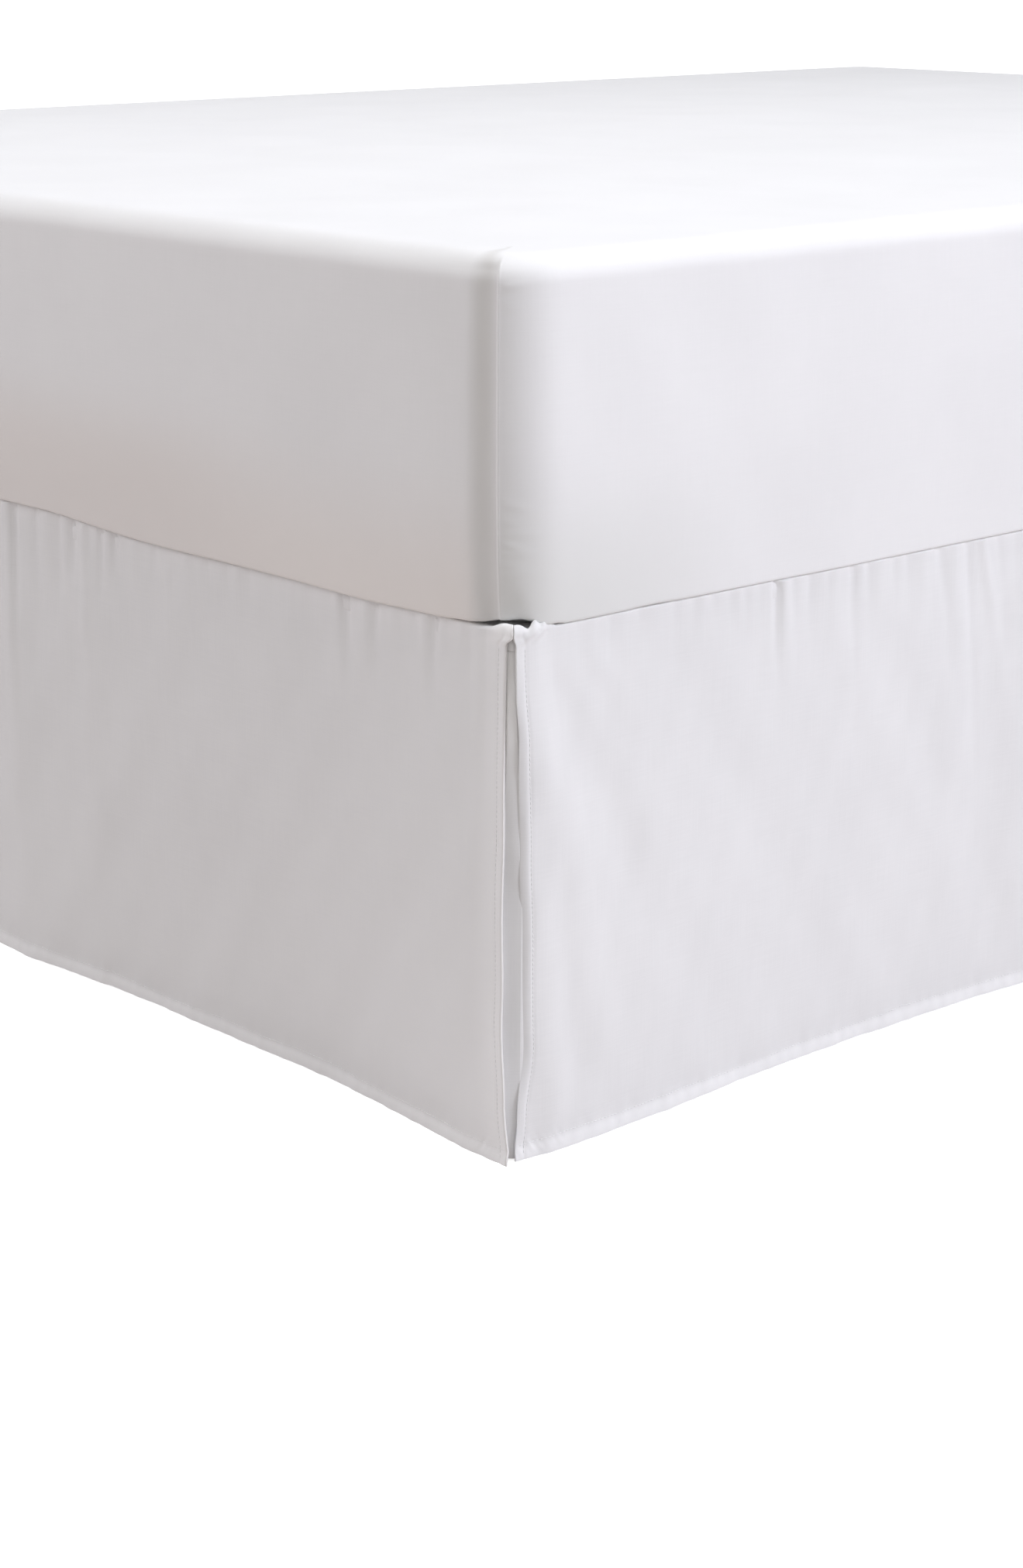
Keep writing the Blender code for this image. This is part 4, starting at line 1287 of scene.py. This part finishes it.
def cotton(name, dark, light, pitch, slub, depth, roughness=0.85, sheen=0.25, tints=()):
    """Woven cotton: its colour moves between two tones with the slubs and soft clouds.

    pitch is the distance between threads, slub how uneven they are, and depth how deep the
    weave is. Each tint is a function that makes a mask, and the colour put there, which on
    some cloths is painted light or shade.
    """
    material, tree, shader = start_material(name)
    where = add_node(tree, "TexCoord").outputs
    weave = add_node(tree, "Group", node_tree=WEAVE)
    feed(tree, weave, {"Place": where["UV"], "Thread pitch": pitch, "Slub": slub})
    clouds = add_node(tree, "TexNoise", {"Vector": where["Object"], "Scale": CLOUD_SCALE,
                                         "Detail": 3.0})
    tones = calculate(tree, "ADD", weave.outputs["Tint"], clouds.outputs["Fac"])
    blend = add_node(tree, "ValToRGB", {"Fac": calculate(tree, "MULTIPLY", tones, 0.5)})
    for end, place, tone in zip(blend.color_ramp.elements, TONE_PLACES, (dark, light)):
        end.position = place
        end.color = (*tone, 1.0)
    colour = blend.outputs["Color"]
    for share_of, other in tints:
        blend = add_node(tree, "Mix", data_type="RGBA", clamp_factor=False)
        feed(tree, blend, {"Factor": share_of(tree), "A": colour, "B": (*other, 1.0)})
        colour = blend.outputs["Result"]
    bump = add_node(tree, "Bump", {"Height": weave.outputs["Height"], "Distance": depth,
                                   "Strength": WEAVE_BUMP})
    feed(tree, shader, {"Base Color": colour, "Normal": bump.outputs["Normal"],
                        "Roughness": roughness, "Specular IOR Level": 0.25,
                        "Sheen Weight": sheen, "Sheen Roughness": 0.6})
    print(name, "nodes:", len(tree.nodes))
    return material


# The skirt's paler tint is doubled cloth at its hems, and painted light in the broader bands
# beside its side edges and towards its bottom.
skirt_cotton = cotton(
    "skirt_cotton", (0.77, 0.765, 0.77), (0.83, 0.825, 0.83), 0.00042, 0.5, 0.00010,
    tints=((doubled_hem_and_painted_light_share, (0.865, 0.86, 0.865)), (side_fold_share, (0.79, 0.772, 0.765))))
# The underlap's paler top is painted light, against the shade of the slot it hangs in.
underlap_cotton = cotton(
    "underlap_cotton", (0.735, 0.73, 0.73), (0.795, 0.79, 0.79), 0.00042, 0.5, 0.00010,
    tints=((underlap_top_painted_light_share, (0.93, 0.925, 0.925)),))
deck_cotton = cotton(
    "deck_cotton", (0.76, 0.755, 0.76), (0.82, 0.815, 0.82), 0.00060, 0.9, 0.00015)
# The sheet's tints are painted shade: warm with light bounced from the floor low on the foot side,
# and darker low beside each corner and in the trough by each seam.
sheet_cotton = cotton(
    "fitted_sheet_cotton", (0.805, 0.80, 0.805), (0.855, 0.85, 0.855), 0.00030, 0.35, 0.00006,
    roughness=0.80, sheen=0.3,
    tints=((foot_low_painted_warm_shade_share, (0.818, 0.776, 0.75)), (foot_far_painted_warm_shade_share, (0.775, 0.735, 0.715)),
           (corner_low_painted_shade_share, (0.735, 0.735, 0.722)),
           (seam_trough_painted_shade_share, (0.725, 0.715, 0.705))))
ticking = cotton(
    "spring_ticking", (0.56, 0.56, 0.57), (0.66, 0.66, 0.67), 0.0008, 0.8, 0.0002)
thread = cotton(
    "hem_thread", (0.78, 0.775, 0.78), (0.84, 0.835, 0.84), 0.0003, 0.2, 0.00005)

# %% [markdown]
# ## Steel and plastic finishes
# The bed frame is angle steel with a baked brown coat. Such a coat is slightly pebbled, and
# it is rubbed brighter in places. The glides are moulded black plastic, dull, with a finer
# grain. Both use one node group, which reads object coordinates.

# %% Coated steel and moulded plastic
def pebbled_group():
    """Height and wear of a pebbled coat, from object coordinates."""
    tree, entry, leave = start_group("pebbled_coat", {"Pebbles": 400.0}, ("Height", "Wear"))
    pebbles = add_node(tree, "TexNoise", {"Vector": entry["Place"], "Scale": entry["Pebbles"],
                                          "Detail": 2.0})
    rubbed = add_node(tree, "TexNoise", {"Vector": entry["Place"], "Scale": 28.0, "Detail": 5.0})
    wear = add_node(tree, "MapRange", {"Value": rubbed.outputs["Fac"], "From Min": 0.55,
                                       "From Max": 0.80})
    feed(tree, leave, {"Height": pebbles.outputs["Fac"], "Wear": wear.outputs["Result"]})
    return tree


PEBBLED = pebbled_group()


def coated(name, colour, worn, metallic, roughness, pebbles, depth):
    """A pebbled coat. pebbles: how many there are in a metre. depth: how deep they are."""
    material, tree, shader = start_material(name)
    coat = add_node(tree, "Group", node_tree=PEBBLED)
    where = add_node(tree, "TexCoord").outputs["Object"]
    feed(tree, coat, {"Place": where, "Pebbles": pebbles})
    height = coat.outputs["Height"]
    blend = add_node(tree, "Mix", data_type="RGBA")
    feed(tree, blend, {"Factor": coat.outputs["Wear"], "A": (*colour, 1.0), "B": (*worn, 1.0)})
    rough = add_node(tree, "MapRange", {"Value": height, "To Min": roughness - 0.08,
                                        "To Max": roughness + 0.10})
    bump = add_node(tree, "Bump", {"Height": height, "Strength": 0.4, "Distance": depth})
    feed(tree, shader, {"Base Color": blend.outputs["Result"], "Metallic": metallic,
                        "Roughness": rough.outputs["Result"], "Normal": bump.outputs["Normal"]})
    print(name, "nodes:", len(tree.nodes))
    return material


steel = coated(
    "coated_steel", (0.075, 0.060, 0.052), (0.13, 0.11, 0.10), 0.55, 0.42, 700.0, 0.0003)
plastic = coated(
    "glide_plastic", (0.028, 0.028, 0.029), (0.05, 0.05, 0.05), 0.0, 0.52, 1200.0, 0.0001)

# %% [markdown]
# ## Put everything in place
# Each new piece rides on the one body and takes its material, and the solids that it stands
# for are hidden. The hard solids stay as they are and only change their material.

# %% Dress the frame
def give_material(item, material):
    item.data.materials.clear()
    item.data.materials.append(material)


def dress(piece, material, slot, *nodes):
    give_material(piece, material)
    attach(piece, "root")
    if nodes:
        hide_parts(*nodes)


dress(deck, deck_cotton, "deck_cloth", "skirt_deck")
dress(mattress, sheet_cotton, "mattress_cover", "mattress")
dress(box_spring, ticking, "spring_ticking", "box_spring")
for panel, piece, sewn in zip(PANELS, panel_pieces, panel_stitches):
    dress(piece, skirt_cotton, "skirt_cloth", "skirt_drop_" + panel.name.split("_")[0])
    dress(sewn, thread, "skirt_cloth")
for side, piece in underlaps.items():
    dress(piece, underlap_cotton, "underlap_cloth", "skirt_underlap_" + side)

for name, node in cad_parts.items():
    if name.startswith(("rail_", "cross_rail_", "leg_")):
        give_material(node, steel)
    elif name.startswith("glide_"):
        give_material(node, plastic)
print("carried over:", sum(not node.hide_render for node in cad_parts.values()), "nodes")

# %% [markdown]
# ## Floor, light and camera
# White cloth is lit softly, or its folds vanish. A broad key light stands to the right and
# slightly behind, a weaker fill to the left, a faint one in front, and one overhead. The face
# turned to the camera is then the darkest, which draws the corner. The floor is pale, and the
# camera sees it brighter than it lights the cloth from below.

# %% Floor and surroundings
FLOOR_COLOUR = (0.52, 0.475, 0.45, 1.0)     # as the cloth sees it
FLOOR_SEEN = (4.0, 4.0, 4.0, 1.0)           # as the camera sees it
FLOOR_GLOW = (0.72, 0.72, 0.72, 1.0)        # what it gives off to the camera alone
SKY_COLOUR = (0.220, 0.222, 0.218, 1.0)
BLACK, WHITE = (0.0, 0.0, 0.0, 1.0), (1.0, 1.0, 1.0, 1.0)


def seen_or_not(tree, other, seen):
    """One colour for light that goes round, and another for what the camera sees."""
    path = add_node(tree, "LightPath")
    blend = add_node(tree, "Mix", data_type="RGBA")
    feed(tree, blend, {"Factor": path.outputs["Is Camera Ray"], "A": other, "B": seen})
    return blend.outputs["Result"]


def make_floor():
    floor = add_primitive(bpy.ops.mesh.primitive_plane_add, "studio_floor", size=90.0,
                          location=(0, 0, 0))
    material, tree, shader = start_material("studio_floor")
    feed(tree, shader, {"Roughness": 1.0, "Specular IOR Level": 0.0, "Emission Strength": 1.0,
                        "Base Color": seen_or_not(tree, FLOOR_COLOUR, FLOOR_SEEN),
                        "Emission Color": seen_or_not(tree, BLACK, FLOOR_GLOW)})
    give_material(floor, material)


def make_surroundings():
    world = bpy.data.worlds.new("studio")
    world.use_nodes = True
    tree = world.node_tree
    feed(tree, tree.nodes["Background"], {"Color": seen_or_not(tree, SKY_COLOUR, WHITE)})
    bpy.context.scene.world = world


make_floor()
make_surroundings()
bpy.context.scene.view_settings.view_transform = "Standard"
print("floor and surroundings are ready")

# %% Lights
NEAR_CORNER = Vector((SKIRT_HALF_WIDTH, FOOT_Y, TOP_Z))


def way_to(azimuth, elevation):
    """The direction that azimuth and elevation give, in degrees."""
    a, e = math.radians(azimuth), math.radians(elevation)
    return Vector((math.cos(a) * math.cos(e), math.sin(a) * math.cos(e), math.sin(e)))


def add_light(name, azimuth, elevation, distance, size, share, colour):
    """A square light aimed at the near corner. share: light it gives, 1 being white paper."""
    way = way_to(azimuth, elevation)
    light = add_primitive(bpy.ops.object.light_add, name, type="AREA",
                          location=NEAR_CORNER + way * distance)
    light.rotation_euler = way.to_track_quat("Z", "Y").to_euler()
    light.data.shape = "SQUARE"
    light.data.size = size
    light.data.energy = share * (math.pi * distance) ** 2
    light.data.color = colour
    print(name, "at", tuple(round(c, 2) for c in light.location), f"{light.data.energy:.0f} W")


add_light("key_light", 30, 25, 7.0, 3.2, 0.730, (0.88, 0.90, 1.0))
add_light("front_light", -20, 22, 7.0, 3.2, 0.094, (0.99, 1.0, 0.95))
add_light("fill_light", -130, 25, 7.0, 4.0, 0.388, (0.975, 0.955, 1.0))
add_light("top_light", 90, 88, 5.0, 2.0, 0.52, (1.0, 1.0, 1.0))

# %% Camera
CAMERA_AZIMUTH = 47.995     # degrees round from facing the foot
CAMERA_ELEVATION = 15.861
CAMERA_DISTANCE = 2.093
CAMERA_AIM = Vector((0.7814, -1.0350, 0.2885))
CAMERA_LENS = 71.15


def add_camera():
    a, e = math.radians(CAMERA_AZIMUTH), math.radians(CAMERA_ELEVATION)
    back = Vector((math.sin(a) * math.cos(e), -math.cos(a) * math.cos(e), math.sin(e)))
    camera = add_primitive(bpy.ops.object.camera_add, "studio_camera",
                           location=CAMERA_AIM + back * CAMERA_DISTANCE)
    camera.rotation_euler = back.to_track_quat("Z", "Y").to_euler()
    camera.data.lens = CAMERA_LENS
    camera.data.sensor_width = 36.0
    bpy.context.scene.camera = camera
    print("camera at", tuple(round(c, 3) for c in camera.location))


add_camera()
